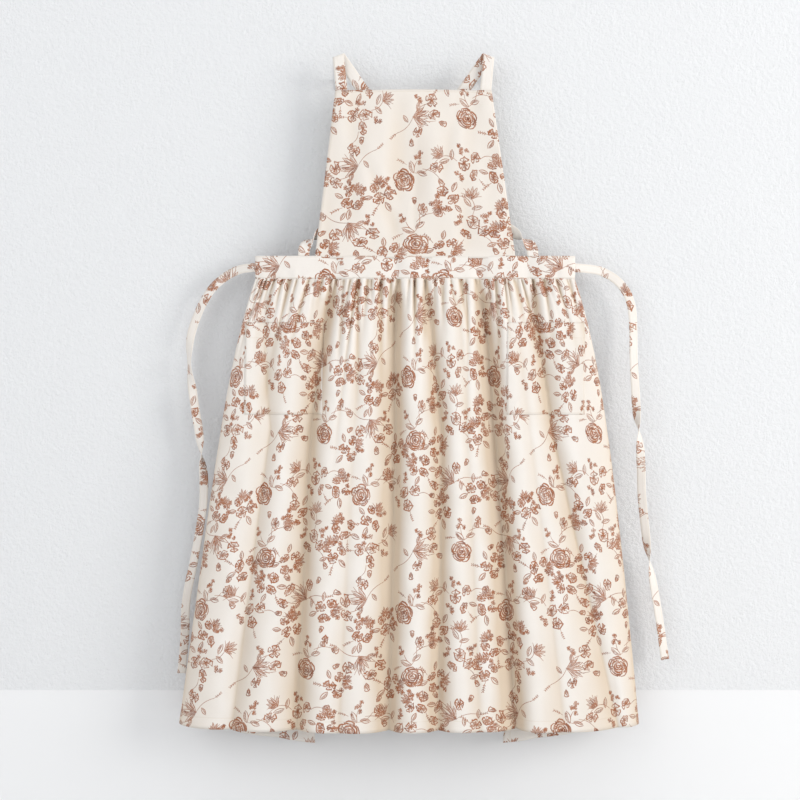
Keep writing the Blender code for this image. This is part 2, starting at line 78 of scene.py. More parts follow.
HEM_FOLD_R = 0.017
HEM_DEPTH = 0.075
HEM_TURN = 0.020            # cloth turned up at the hem
HEM_STITCH = 0.0195         # the hem's stitching, above its edge
WING_TOP = 0.092
WING_HEM = 0.243
WING_DROOP = 0.043
BEND_REACH = 0.035          # stretch behind a side fold where the cloth bends as it swings
POCKET_DROP = 0.075         # band's lower edge to a pocket's mouth
POCKET_LOW = 0.230          # band's lower edge to a pocket's lower edge
POCKET_X = 0.222
POCKET_HALF = 0.066
STRAP_WIDTH = 0.0195
STRAP_CLOTH = 0.0014
TIE_CLOTH = 0.0013
TIE_WIDTH = 0.015
TIE_Y = -0.036
TIE_ROOT_X = 0.2680
CLOTH = 0.0008              # thickness of one layer
HEM_CLOTH = 0.0013          # thickness where the hem is turned up
POCKET_CLOTH = 0.0006
FULL_CREASE = 0.0045        # a valley this deep counts as a full crease
FLAT_SKIRT = 0.90           # the skirt front's flat width: its hem's length along the folds
FLAT_LENGTH = 0.775         # its flat length
MOST = {"stroke": 9, "wash": 3}   # lines of each kind that one cell of a print can hold


def linked(name, data):
    """A new object in the scene."""
    obj = bpy.data.objects.new(name, data)
    bpy.context.scene.collection.objects.link(obj)
    return obj


def lengths(points):
    """Length along a row of points, from its first one."""
    return np.r_[0, np.cumsum(np.linalg.norm(np.diff(points, axis=0), axis=1))]


# ---- camera -----------------------------------------------

LENS, SENSOR = 65.45, 36            # millimetres
CAMERA_SPOT = (-0.0227, -2.53, -0.3836)
CAMERA_DIP = 3.93                   # degrees below level


def make_camera():
    """A long lens a little below the waistband's level, tipped slightly down."""
    data = bpy.data.cameras.new("camera")
    data.lens = LENS
    data.sensor_width = SENSOR
    cam = linked("camera", data)
    cam.location = CAMERA_SPOT
    cam.rotation_euler = (math.radians(90 - CAMERA_DIP), 0, 0)
    bpy.context.scene.camera = cam


make_camera()

# ---- the print: pen strokes of one repeat -----------------
# A stroke is an array of rows (x, y, half width, kind), in millimetres. A motif is a list
# of strokes about its own middle, and place() turns, scales and moves it.


def pen(x, y, thin=0.22, thick=0.45, peak=0.5):
    """A pen line through the points, whose half width swells from thin ends to thick.

    The fourth number of each point is the kind: 0 for a pen line, 1 for a hatched patch.
    """
    x, y = np.broadcast_arrays(np.asarray(x, float), np.asarray(y, float))
    t = np.linspace(0, 1, len(x))
    swell = np.where(t < peak, t / peak, (1 - t) / (1 - peak + 1e-9))
    width = 1.25 * (thin + (thick - thin) * np.sin(swell * math.pi / 2))
    return np.stack([x, y, width, np.zeros(len(x))], axis=1)


def wash(x, y, start, end):
    """A hatched patch along a line, whose half width runs evenly from start to end."""
    x, y = np.asarray(x, float), np.asarray(y, float)
    width = np.linspace(start, end, len(x))
    return np.stack([x, y, width, np.ones(len(x))], axis=1)


def place(strokes, x, y, turn=0.0, size=1.0):
    """The strokes turned by turn degrees, scaled and moved to (x, y)."""
    c, s = math.cos(math.radians(turn)), math.sin(math.radians(turn))
    out = []
    for a in strokes:
        px = x + size * (a[:, 0] * c - a[:, 1] * s)
        py = y + size * (a[:, 0] * s + a[:, 1] * c)
        out.append(np.stack([px, py, a[:, 2] * (0.35 + 0.65 * size), a[:, 3]], axis=1))
    return out


def wobble(x, y, rng, size):
    """The points shaken a little, as a quick hand draws them."""
    return x + rng.normal(0, size, np.shape(x)), y + rng.normal(0, size, np.shape(y))


def blossom(r, seed):
    """Five uneven petals, some foreshortened: notched loops, veins and a dark heart.

    A petal is a loop that reaches L sin(pi t)^0.7 out, with a dent at its tip. The whole flower is
    squashed along one direction, as if seen from a side.
    """
    rng = np.random.default_rng(seed)
    out = []
    squash, lean = rng.uniform(0.55, 0.95), rng.uniform(0, math.pi)
    for k in range(5):
        a = 2 * math.pi * k / 5 + rng.uniform(-0.22, 0.22)
        length = r * rng.uniform(0.78, 1.12)
        wide = r * rng.uniform(0.62, 1.0)
        t = np.linspace(0.03, 0.97, 8)
        x = length * np.sin(math.pi * t) ** 0.7 * (1 - 0.16 * np.exp(-(((t - 0.5) / 0.10) ** 2)))
        y = wide * 0.5 * np.sin(2 * math.pi * t) * (0.45 + 0.75 * np.sin(math.pi * t))
        x, y = wobble(x, y, rng, 0.055 * r)
        c, s = math.cos(a), math.sin(a)
        out.append(pen(x * c - y * s, x * s + y * c, 0.18, rng.uniform(0.5, 0.95),
                       rng.uniform(0.25, 0.75)))
        for off in (-0.16, 0.02, 0.17):
            q = np.linspace(0.14, rng.uniform(0.35, 0.72), 2) * length
            b = a + off
            out.append(pen(q * math.cos(b), q * math.sin(b), 0.38, 0.38))
        if rng.uniform() < 0.65:
            q = np.array([0.15, rng.uniform(0.5, 0.95)]) * length
            b = a + rng.choice([-0.32, 0.32])
            out.append(wash(q * math.cos(b), q * math.sin(b), 0.12 * r,
                            rng.uniform(0.06, 0.20) * r))
    out.append(wash([-0.08 * r, 0.10 * r], [0, 0.05 * r], 0.20 * r, 0.16 * r))
    for k in range(3):
        a = 2.1 * k + 0.4
        q = np.array([0.03, 0.20]) * r
        out.append(pen(q * math.cos(a), q * math.sin(a), 0.9, 0.9))
    c, s = math.cos(lean), math.sin(lean)
    for a in out:
        u, v = a[:, 0] * c + a[:, 1] * s, (a[:, 1] * c - a[:, 0] * s) * squash
        a[:, 0], a[:, 1] = u * c - v * s, u * s + v * c
    return out


def rose(r, seed):
    """A full rose: an uneven outline of broad outer petals round a tight dark heart."""
    rng = np.random.default_rng(seed)
    out = []
    for ring, count in ((0.17, 2), (0.36, 3), (0.60, 3), (0.82, 4), (1.0, 5)):
        shift = rng.uniform(0, 2 * math.pi)
        for k in range(count):
            span = 2 * math.pi / count * rng.uniform(0.95, 1.25)
            t = np.linspace(0, 1, 6)
            a = shift + 2 * math.pi * k / count + span * t
            flare = 0.16 + 0.14 * rng.uniform()
            bulge = ring * (0.90 - flare / 2 + flare * np.sin(math.pi * t) ** 0.6)
            x, y = wobble(r * bulge * np.cos(a), 0.90 * r * bulge * np.sin(a), rng, 0.022 * r)
            out.append(pen(x, y, 0.25, rng.uniform(0.7, 1.35), rng.uniform(0.2, 0.8)))
            if ring > 0.3:
                for off in (rng.uniform(0.02, 0.2), rng.uniform(0.25, 0.5)):
                    b = a[0] + off
                    q = np.array([ring * 0.97, ring * rng.uniform(0.62, 0.80)]) * r
                    out.append(pen(q * math.cos(b), 0.90 * q * math.sin(b), 0.55, 0.55))
    for ring, wide, count in ((0.10, 0.24, 1), (0.48, 0.13, 3), (0.78, 0.12, 3)):
        shift = rng.uniform(0, 2 * math.pi)
        for k in range(count):
            a = shift + 2 * math.pi * k / count + np.array([0.0, 0.55, 1.1 - 0.4 * ring])
            out.append(wash(r * ring * np.cos(a), 0.90 * r * ring * np.sin(a),
                            wide * r * 0.6, wide * r * 1.2))
    return out


def leaf(length, wide, hatch=3):
    """A pointed leaf along +x: two arcs, a midrib and a few hatch lines on one side."""
    t = np.linspace(0, 1, 6)
    arc = wide / 2 * np.sin(math.pi * t) ** 0.85
    bend = 0.10 * length * t**2
    out = [pen(length * t, arc + bend, 0.25, 0.50), pen(length * t, bend - arc, 0.22, 0.40)]
    out.append(pen(length * t[:-1], bend[:-1], 0.22, 0.36))
    for k in range(hatch - 1):
        a = (k + 1.0) / (hatch + 1.3)
        x = length * np.array([a, a + 0.16])
        out.append(pen(x, 0.10 * length * a * a + np.array([0, -0.33 * wide]), 0.25, 0.25))
    x = length * np.array([0.12, 0.50, 0.80])
    out.append(wash(x, bend[[0, 2, 4]] - 0.16 * wide, 0.16 * wide, 0.30 * wide))
    return out


def fan(length, seed):
    """A lily from the side: narrow curling petals and long stamens from one base."""
    rng = np.random.default_rng(seed)
    out = []
    for k, turn in enumerate((-46, -24, -4, 18, 42)):
        size = length * (0.78, 0.92, 1.05, 0.95, 0.72)[k] * rng.uniform(0.9, 1.08)
        out += place(leaf(size, size * rng.uniform(0.18, 0.27), 1), 0, 0,
                     turn + rng.uniform(-5, 5))
    for turn in (-58, -33, 8, 30, 56):
        q = np.linspace(0.25, rng.uniform(0.75, 1.0), 3) * length
        b = math.radians(turn) + np.array([0, 0.05, 0.16]) * math.copysign(1, turn)
        out.append(pen(q * np.cos(b), q * np.sin(b), 0.22, 0.40, 0.8))
    out.append(wash([0.02 * length, 0.30 * length], [0, 0], 0.07 * length, 0.11 * length))
    return out


def bud(r, seed):
    """A bud along +x: a drop, an inner fold and two sepals with a dark foot."""
    rng = np.random.default_rng(seed)
    t = np.linspace(0.02, 0.98, 8)
    x = r * (0.2 + 1.5 * np.sin(math.pi * t) ** 0.8)
    y = 0.58 * r * np.sin(2 * math.pi * t) * (0.5 + 0.6 * np.sin(math.pi * t))
    out = [pen(x, y, 0.35, 0.62)]
    out.append(pen(r * np.array([0.4, 0.9, 1.45]), r * np.array([0.3, 0.12, -0.22]), 0.45, 0.6))
    out.append(wash(r * np.array([0.1, 0.9]), r * np.array([0.0, -0.15]), 0.25 * r, 0.38 * r))
    for side in (-1, 1):
        q = np.array([0.0, 0.5, 1.0]) * r
        out.append(pen(q, side * np.array([0.05, 0.42, 0.55]) * r * rng.uniform(0.8, 1.1),
                       0.4, 0.75))
    return out


def floret(r, seed):
    """A small flower: four little loops about a dark middle."""
    rng = np.random.default_rng(seed)
    out = []
    for k in range(4):
        a = math.pi / 2 * k + rng.uniform(-0.25, 0.25)
        t = np.linspace(0, 2 * math.pi, 5)
        d, e = r * rng.uniform(0.45, 0.75), r * rng.uniform(0.26, 0.46)
        x, y = wobble(d * math.cos(a) + e * np.cos(t + a),
                      d * math.sin(a) + 0.8 * e * np.sin(t + a), rng, 0.08 * r)
        out.append(pen(x, y, 0.22, rng.uniform(0.45, 0.80), 0.3))
    out.append(pen([-0.12 * r, 0.12 * r], [0.0, 0.0], 0.85, 0.85))
    a = rng.uniform(0, 6.3)
    q = np.array([-0.1, 0.75]) * r
    out.append(wash(q * math.cos(a), q * math.sin(a), 0.22 * r, 0.34 * r))
    return out


def cluster(r, seed):
    """Three or four florets, close together."""
    rng = np.random.default_rng(seed)
    out = []
    for k in range(int(rng.integers(3, 5))):
        a = 2.3 * k + rng.uniform(-0.3, 0.3)
        d = r * 0.62 * math.sqrt(k)
        out += place(floret(r * 0.52, seed + k), d * math.cos(a), d * math.sin(a),
                     rng.uniform(0, 90))
    return out


def sprig(length, seed):
    """A stem along +x with short paired leaves, heaviest at the tip."""
    rng = np.random.default_rng(seed)
    t = np.linspace(0, 1, 4)
    out = [pen(length * t, 0.10 * length * np.sin(2.2 * t), 0.22, 0.30)]
    for k in range(4):
        x = length * (0.30 + 0.20 * k)
        y = 0.10 * length * math.sin(2.2 * (0.30 + 0.20 * k))
        for side in (-1, 1):
            q = length * rng.uniform(0.13, 0.19)
            out.append(pen([x, x + 0.75 * q], [y, y + side * 0.66 * q], 0.35, 0.75))
    return out


def stem(x0, y0, x1, y1, bow=0.15):
    """A thin curved stem between two points; bow is its sag as a share of its length."""
    t = np.linspace(0, 1, 7)
    dx, dy = x1 - x0, y1 - y0
    sag = bow * np.sin(math.pi * t)
    return [pen(x0 + dx * t - dy * sag, y0 + dy * t + dx * sag, 0.24, 0.36)]


def spray(seed, rows):
    """Motifs put together, in order. A row is a motif, its size, its own seed, x, y, turn.

    A leaf's row has its width in place of the seed, and a stem's row has its two ends and
    its bow.
    """
    out = []
    for make, size, own, x, y, turn in rows:
        if make is stem:
            out += stem(size, own, x, y, turn)
        elif make is leaf:
            out += place(leaf(size, own), x, y, turn)
        else:
            out += place(make(size, seed + own), x, y, turn)
    return out


# A trailing spray: lily fan in the middle, blossoms and buds round it.
TRAILING = (
    (stem, -46, -20, -8, -6, 0.12), (stem, -8, -6, 30, 16, -0.16), (stem, -8, -6, 6, 34, 0.1),
    (fan, 33, 0, -8, -6, 62), (blossom, 12.5, 1, 14, 26, 10), (blossom, 11.5, 2, 33, 12, 40),
    (blossom, 10, 3, -26, 13, 75), (bud, 8, 4, 7, 40, 80), (bud, 7, 5, -42, 8, 150),
    (cluster, 8.5, 6, 24, -10, 0), (leaf, 17, 6.5, 4, -2, -30), (leaf, 15, 6, -20, -10, -72),
    (sprig, 17, 7, -44, -19, 196),
)
# A dark rose, leaves under it and a stem with buds.
ROSE_SPRAY = (
    (rose, 19, 0, 0, 14, 20), (stem, 2, -6, 18, -34, 0.14), (stem, 10, -22, 40, -30, -0.12),
    (leaf, 21, 9, 3, -6, -152), (leaf, 18, 8, 6, -12, -28), (sprig, 18, 1, -15, -8, 160),
    (blossom, 11, 2, 26, -40, 5), (bud, 8, 3, 41, -29, 20), (cluster, 8.5, 4, -8, -32, 0),
    (stem, -6, -26, 3, -8, 0.1), (bud, 6.5, 5, 15, -52, -80),
)
# A dense nosegay of blossoms with clusters hanging from it.
NOSEGAY = (
    (blossom, 13.5, 0, 0, 0, 0), (blossom, 11.5, 1, 21, 9, 30), (blossom, 11, 2, -5, 23, 66),
    (cluster, 9, 3, -21, 7, 0), (cluster, 8.5, 4, 17, -17, 30), (stem, -4, -12, -14, -38, 0.15),
    (stem, 24, 18, 40, 32, -0.15), (leaf, 19, 7.5, -10, -24, -150), (leaf, 18, 7, -8, -20, -38),
    (bud, 7, 5, 40, 32, 42), (sprig, 17, 6, -6, 34, 98), (fan, 22, 7, -13, -36, -100),
)
# Three small blossoms, florets, leaves and a sprig, close together.
POSY = (
    (blossom, 9.0, 800, 0, 6, 10), (blossom, 8.0, 830, 12, -5, 50),
    (blossom, 7.5, 860, -11, -6, 90), (cluster, 7.5, 890, 1, -17, 0),
    (leaf, 15, 6.5, 9, 8, 35), (leaf, 13, 5.5, -9, 6, 150),
    (sprig, 16, 920, 2, 14, 96), (fan, 14, 950, -6, -12, -120),
)
# Where the large sprays lie in one repeat: rows, seed, x, y and turn.
LAYOUT = (
    (TRAILING, 11, 52, 50, 0), (ROSE_SPRAY, 31, 148, 66, -14), (NOSEGAY, 51, 243, 42, 20),
    (ROSE_SPRAY, 71, 40, 160, 30), (NOSEGAY, 91, 128, 168, -34), (TRAILING, 111, 226, 150, 150),
    (NOSEGAY, 131, 60, 262, 74), (TRAILING, 151, 158, 262, -62), (ROSE_SPRAY, 171, 250, 254, 8),
    (TRAILING, 191, 44, 352, 118), (ROSE_SPRAY, 211, 142, 362, 44), (NOSEGAY, 231, 236, 344, -52),
)
MOST_POSIES = 70        # more than ever fit
SPOTS = 150             # places tried for each posy
ROOM = 15.5             # millimetres clear round a posy's middle

REPEAT_U, REPEAT_V = 0.300, 0.400   # the print's repeat, across and down the cloth


def repeat_strokes():
    """Every stroke of one repeat, in millimetres: large sprays, then posies between them."""
    out = []
    for rows, seed, x, y, turn in LAYOUT:
        out += place(spray(seed, rows), x, y, turn)
    rng = np.random.default_rng(19)
    for k in range(MOST_POSIES):
        taken = np.vstack([a[::2, :2] for a in out])
        spots = rng.uniform(0, 1, (SPOTS, 2)) * [REPEAT_U * 1000, REPEAT_V * 1000]
        near = np.full(len(spots), 1e9)
        for dx, dy in ((0, 0), (300, 200), (-300, 200), (300, -200), (-300, -200), (0, 400),
                       (0, -400)):
            over = taken + [dx, dy]
            over = over[(np.abs(over - [150, 200]) < [190, 240]).all(axis=1)]
            if len(over):
                d = spots[:, None] - over[None]
                near = np.minimum(near, (d**2).sum(axis=2).min(axis=1))
        best = int(near.argmax())
        room = math.sqrt(near[best])
        if room < ROOM:
            break
        out += place(spray(k, POSY), *spots[best], rng.uniform(0, 360), min(1.22, room / 13.0))
    return out


def segments_of(strokes, kind):
    """Straight pieces of one kind of stroke: rows (x0, y0, w0, x1, y1, w1), in metres."""
    rows = [np.hstack([a[:-1, :3], a[1:, :3]]) for a in strokes if a[0, 3] == kind]
    return np.vstack(rows) * 0.001


DRAWN = repeat_strokes()
SEGMENTS = {"stroke": segments_of(DRAWN, 0), "wash": segments_of(DRAWN, 1)}


def printed_over(word, u_low, u_high, v_low, v_high):
    """The repeat laid side by side over a stretch of cloth, each column dropped by half."""
    margin = 0.06
    tiles = []
    for i in range(math.floor((u_low - margin) / REPEAT_U) - 1,
                   math.ceil((u_high + margin) / REPEAT_U) + 1):
        drop = REPEAT_V / 2 * (i % 2)
        for j in range(math.floor((v_low - margin) / REPEAT_V) - 2,
                       math.ceil((v_high + margin) / REPEAT_V) + 1):
            shift = np.array([i * REPEAT_U, j * REPEAT_V + drop, 0])
            tiles.append(SEGMENTS[word] + np.tile(shift, 2))
    every = np.vstack(tiles)
    middle = (every[:, 0:2] + every[:, 3:5]) / 2
    keep = (
        (middle[:, 0] > u_low - 0.01) & (middle[:, 0] < u_high + 0.01)
        & (middle[:, 1] > v_low - 0.01) & (middle[:, 1] < v_high + 0.01)
    )
    return every[keep]


def strokes_by_cell(word, us, vs):
    """For every cell of a piece's grid, the strokes that cross it, up to MOST of them.

    us and vs are the grid lines across and down the cloth. Each stroke is sampled along
    and beside its line; a cell keeps the strokes with the most samples inside it.
    """
    most = MOST[word]
    lines = printed_over(word, us.min(), us.max(), vs.min(), vs.max())
    t = np.linspace(0, 1, 9)
    start, run = lines[:, None, 0:2], (lines[:, 3:5] - lines[:, 0:2])[:, None]
    reach = (np.maximum(lines[:, 2], lines[:, 5]) + 0.00035)[:, None, None]
    steps = (-1, 0, 1) if word == "stroke" else (-1, -0.5, 0, 0.5, 1)
    corners = np.array([(a, b) for a in steps for b in steps], float)
    spots = (start + run * t[None, :, None])[:, :, None] + corners * reach[..., None]
    spots = spots.reshape(len(lines), -1, 2)
    column = np.searchsorted(us, spots[..., 0]) - 1
    row = np.searchsorted(vs, spots[..., 1]) - 1
    wide, tall = len(us) - 1, len(vs) - 1
    inside = (column >= 0) & (column < wide) & (row >= 0) & (row < tall)
    which = np.broadcast_to(np.arange(len(lines))[:, None], column.shape)
    key = ((row * wide + column) * len(lines) + which)[inside]
    pairs, count = np.unique(key, return_counts=True)
    cell, stroke = pairs // len(lines), pairs % len(lines)
    order = np.lexsort((-count, cell))
    cell, stroke = cell[order], stroke[order]
    first = np.r_[True, cell[1:] != cell[:-1]]
    rank = np.arange(len(cell)) - np.maximum.accumulate(np.where(first, np.arange(len(cell)), 0))
    fits = rank < most
    a = np.full((most, wide * tall, 3), 50.0, np.float32)
    d = np.full((most, wide * tall, 3), 0.0, np.float32)
    a[..., 2], d[..., 0] = 0.0, 0.001
    a[rank[fits], cell[fits]] = lines[stroke[fits], 0:3] * [1, 1, -1]
    d[rank[fits], cell[fits]] = (lines[stroke[fits], 3:6] - lines[stroke[fits], 0:3]) * [1, 1, -1]
    return a, d


# ---- cloth shells -----------------------------------------


def normals(mid):
    """Unit normals of a grid of points, facing forwards for rows down and columns to +x."""
    n = np.cross(np.gradient(mid, axis=0), np.gradient(mid, axis=1))
    return n / (np.linalg.norm(n, axis=-1, keepdims=True) + 1e-12)


def ruffle(u, v, seed, low, high, count=14):
    """Smooth noise of about unit size: a sum of sine waves with wavelengths low to high."""
    rng = np.random.default_rng(seed)
    total = np.zeros(np.broadcast(u, v).shape)
    for _ in range(count):
        turn, phase = rng.uniform(0, 2 * math.pi, 2)
        k = 2 * math.pi / rng.uniform(low, high)
        total += np.sin(k * (u * math.cos(turn) + v * math.sin(turn)) + phase)
    return total / math.sqrt(count / 2) / 1.6


def seams_of(us, vs, lines):
    """For each grid point: distance to the nearest stitched line, and place along it.

    lines is a list of ("u", value) or ("v", value): a line at that place across or down.
    """
    u, v = np.meshgrid(us, vs)
    best = np.full(u.shape, 1.0)
    along = np.zeros(u.shape)
    for kind, value in lines:
        off = (u if kind == "u" else v) - value
        nearer = np.abs(off) < np.abs(best)
        best = np.where(nearer, off, best)
        along = np.where(nearer, v if kind == "u" else u, along)
    return np.stack([best, along, np.zeros(u.shape)], axis=-1)


def creased(mid, spread):
    """How deep each point lies in a valley, 0 to 1, by how far its neighbours stand in front.

    Neighbours are the columns up to spread away; those on the right count 0.6. The result is used
    as painted shade, darkening the cloth in its folds.
    """
    y = mid[..., 1]
    total = np.zeros(y.shape)
    for k in range(1, spread + 1):
        left = np.concatenate([np.repeat(y[:, :1], k, axis=1), y[:, :-k]], axis=1)
        right = np.concatenate([y[:, k:], np.repeat(y[:, -1:], k, axis=1)], axis=1)
        total += np.clip(y - left, 0, None) + 0.6 * np.clip(y - right, 0, None)
    return np.clip(total / spread / FULL_CREASE, 0, 1)


def shell(name, mid, thick, us, vs, front, back, back_shift=(0.0, 0.0), seams=(), crease_shade=None,
          hem=None):
    """A closed two-layer sheet of cloth about a grid of middle points.

    Each layer lies half of thick along the normal, and a strip closes the border. The
    UV map holds the cloth's own flat coordinates us across and vs down, in metres, and
    the faces carry the pen strokes that cross them. back_shift slides the print on the
    inner layer. Where hem is given, the cloth below that v is turned up at the back, so
    its outer side shows there too.
    """
    mid = np.asarray(mid, float)
    rows, cols = mid.shape[:2]
    n = normals(mid) * (np.asarray(thick, float) / 2)[..., None]
    points = np.concatenate([(mid + n).reshape(-1, 3), (mid - n).reshape(-1, 3)])
    index = np.arange(rows * cols).reshape(rows, cols)
    quads = np.stack([index[:-1, :-1], index[1:, :-1], index[1:, 1:], index[:-1, 1:]], -1)
    quads = quads.reshape(-1, 4)
    border = np.concatenate([
        index[:, 0], index[-1, 1:], index[-2::-1, -1], index[0, -2::-1],
    ])
    a, b = border[:-1], border[1:]
    size = rows * cols
    rim = np.stack([b, a, a + size, b + size], axis=-1)
    faces = np.concatenate([quads, quads[:, ::-1] + size, rim])

    mesh = bpy.data.meshes.new(name)
    mesh.from_pydata(points.tolist(), [], faces.tolist())
    mesh.materials.append(front)
    mesh.materials.append(back)
    slot = np.zeros(len(faces), np.int32)
    slot[len(quads):2 * len(quads)] = 1
    if hem is not None:
        turned = np.repeat(vs[:-1] > hem, cols - 1)
        printed = 0 if front is PRINTED else 1
        slot[:len(quads)][turned] = printed
        slot[len(quads):2 * len(quads)][turned] = printed
    mesh.polygons.foreach_set("material_index", slot)
    mesh.polygons.foreach_set("use_smooth", np.ones(len(faces), bool))

    u, v = np.meshgrid(us, vs)
    flat = np.stack([u, v], axis=-1).reshape(-1, 2)
    per_point = np.concatenate([flat, flat + np.array(back_shift)])
    corners = np.empty(len(mesh.loops), np.int32)
    mesh.loops.foreach_get("vertex_index", corners)
    uv = per_point[corners]
    uv[len(quads) * 8:] = flat[corners[len(quads) * 8:] % size]
    layer = mesh.uv_layers.new(name="UVMap")
    layer.data.foreach_set("uv", uv.astype(np.float32).ravel())

    none_a = np.tile(np.array([50, 50, 0], np.float32), (len(rim), 1))
    none_d = np.tile(np.array([0.001, 0, 0], np.float32), (len(rim), 1))
    for word in MOST:
        a0, d0 = strokes_by_cell(word, us, vs)
        a1, d1 = a0, d0
        if back_shift != (0.0, 0.0):
            a1, d1 = strokes_by_cell(word, us + back_shift[0], vs + back_shift[1])
        for k in range(MOST[word]):
            for end, one, two, none in (("from", a0, a1, none_a), ("run", d0, d1, none_d)):
                made = mesh.attributes.new(f"{word}_{end}_{k}", "FLOAT_VECTOR", "FACE")
                values = np.concatenate([one[k], two[k], none])
                made.data.foreach_set("vector", values.astype(np.float32).ravel())
    line = seams_of(us, vs, seams).reshape(-1, 3)
    # Painted shade: the valleys' depth goes into the attribute's third number and darkens the
    # cloth in its folds.
    if crease_shade is not None:
        line[:, 2] = crease_shade.ravel()
    made = mesh.attributes.new("stitch_and_crease_shade", "FLOAT_VECTOR", "POINT")
    made.data.foreach_set("vector", np.concatenate([line, line]).astype(np.float32).ravel())
    mesh.validate()
    return linked(name, mesh)


def hemmed(shape, vs):
    """Thickness over a panel's grid, more where its hem is turned up."""
    thick = np.full(shape, CLOTH)
    thick[vs > vs[-1] - HEM_TURN] = HEM_CLOTH
    return thick


def band_thickness(rows, cols):
    """Thickness over a band's grid: fuller in the middle, pressed flat at its edges."""
    share = np.linspace(0, 1, rows)
    edge = np.minimum(share, 1 - share)
    return (0.0022 + 0.0009 * np.sqrt(np.clip(edge / 0.5, 0, 1)))[:, None] + np.zeros(cols)


def even_rows(mid):
    """Mean length down a grid's middle rows, from its first row: the flat coordinate v."""
    step = np.linalg.norm(np.diff(mid, axis=0), axis=-1).mean(axis=1)
    return np.r_[0, np.cumsum(step)]


# ---- materials --------------------------------------------


class Graph:
    """Short names for the nodes and links of one material or group."""

    def __init__(self, tree):
        self.tree = tree

    def add(self, kind, **settings):
        node = self.tree.nodes.new(kind)
        for key, value in settings.items():
            setattr(node, key, value)
        return node

    def put(self, node, values):
        for key, value in values.items():
            socket = node.inputs[key]
            if isinstance(value, bpy.types.NodeSocket):
                self.tree.links.new(value, socket)
            else:
                socket.default_value = value
        return node

    def math(self, operation, *values, clamp=False):
        node = self.add("ShaderNodeMath", operation=operation, use_clamp=clamp)
        return self.put(node, dict(enumerate(values))).outputs[0]

    def vector(self, operation, *values, out=0):
        node = self.add("ShaderNodeVectorMath", operation=operation)
        return self.put(node, dict(enumerate(values))).outputs[out]

    def attribute(self, name):
        return self.add("ShaderNodeAttribute", attribute_name=name).outputs["Vector"]

    def ramp(self, value, low, high):
        """0 below low, 1 above high, smooth between. low may be above high."""
        node = self.add("ShaderNodeMapRange")
        node.interpolation_type = "SMOOTHSTEP"
        self.put(node, {"Value": value, "From Min": low, "From Max": high})
        return node.outputs["Result"]

    def noise(self, vector, scale, detail=2.0, rough=0.5):
        node = self.add("ShaderNodeTexNoise")
        self.put(node, {"Vector": vector, "Scale": scale, "Detail": detail, "Roughness": rough})
        return node.outputs["Fac"]

    def mix(self, factor, one, two, blend="MIX"):
        node = self.add("ShaderNodeMix", data_type="RGBA", blend_type=blend)
        self.put(node, {0: factor, 6: one, 7: two})
        return node.outputs[2]


def flat_uv(g):
    """The cloth's flat coordinates, in metres."""
    return g.add("ShaderNodeUVMap", uv_map="UVMap").outputs["UV"]


def new_material(name):
    """A new material, its graph and its shader."""
    made = bpy.data.materials.new(name)
    made.use_nodes = True
    return made, Graph(made.node_tree), made.node_tree.nodes["Principled BSDF"]


def line_group(word):
    """A node group: signed distance to the nearest line of one kind, in metres.

    Stroke k of a face starts at A (half width in -z) and runs by D. The nearest point
    is A + tD with t = (P - A).D / D.D kept in 0 to 1; with q = P - A - tD, the distance
    past the stroke's edge is about |q| - sqrt(2) times the half width.
    """
    tree = bpy.data.node_groups.new(f"nearest_{word}", "ShaderNodeTree")
    tree.interface.new_socket("Distance", in_out="OUTPUT", socket_type="NodeSocketFloat")
    g = Graph(tree)
    p = flat_uv(g)
    best = None
    for k in range(MOST[word]):
        a, d = g.attribute(f"{word}_from_{k}"), g.attribute(f"{word}_run_{k}")
        pa = g.vector("SUBTRACT", p, a)
        t = g.math("DIVIDE", g.vector("DOT_PRODUCT", pa, d, out=1),
                   g.vector("DOT_PRODUCT", d, d, out=1), clamp=True)
        step = g.add("ShaderNodeVectorMath", operation="SCALE")
        g.put(step, {0: d, "Scale": t})
        q = g.vector("SUBTRACT", pa, step.outputs[0])
        split = g.put(g.add("ShaderNodeSeparateXYZ"), {0: q})
        off = g.math("MULTIPLY_ADD", split.outputs[2], -math.sqrt(2),
                     g.vector("LENGTH", q, out=1))
        best = off if best is None else g.math("MINIMUM", best, off)
    out = g.add("NodeGroupOutput")
    tree.links.new(best, out.inputs[0])
    return tree


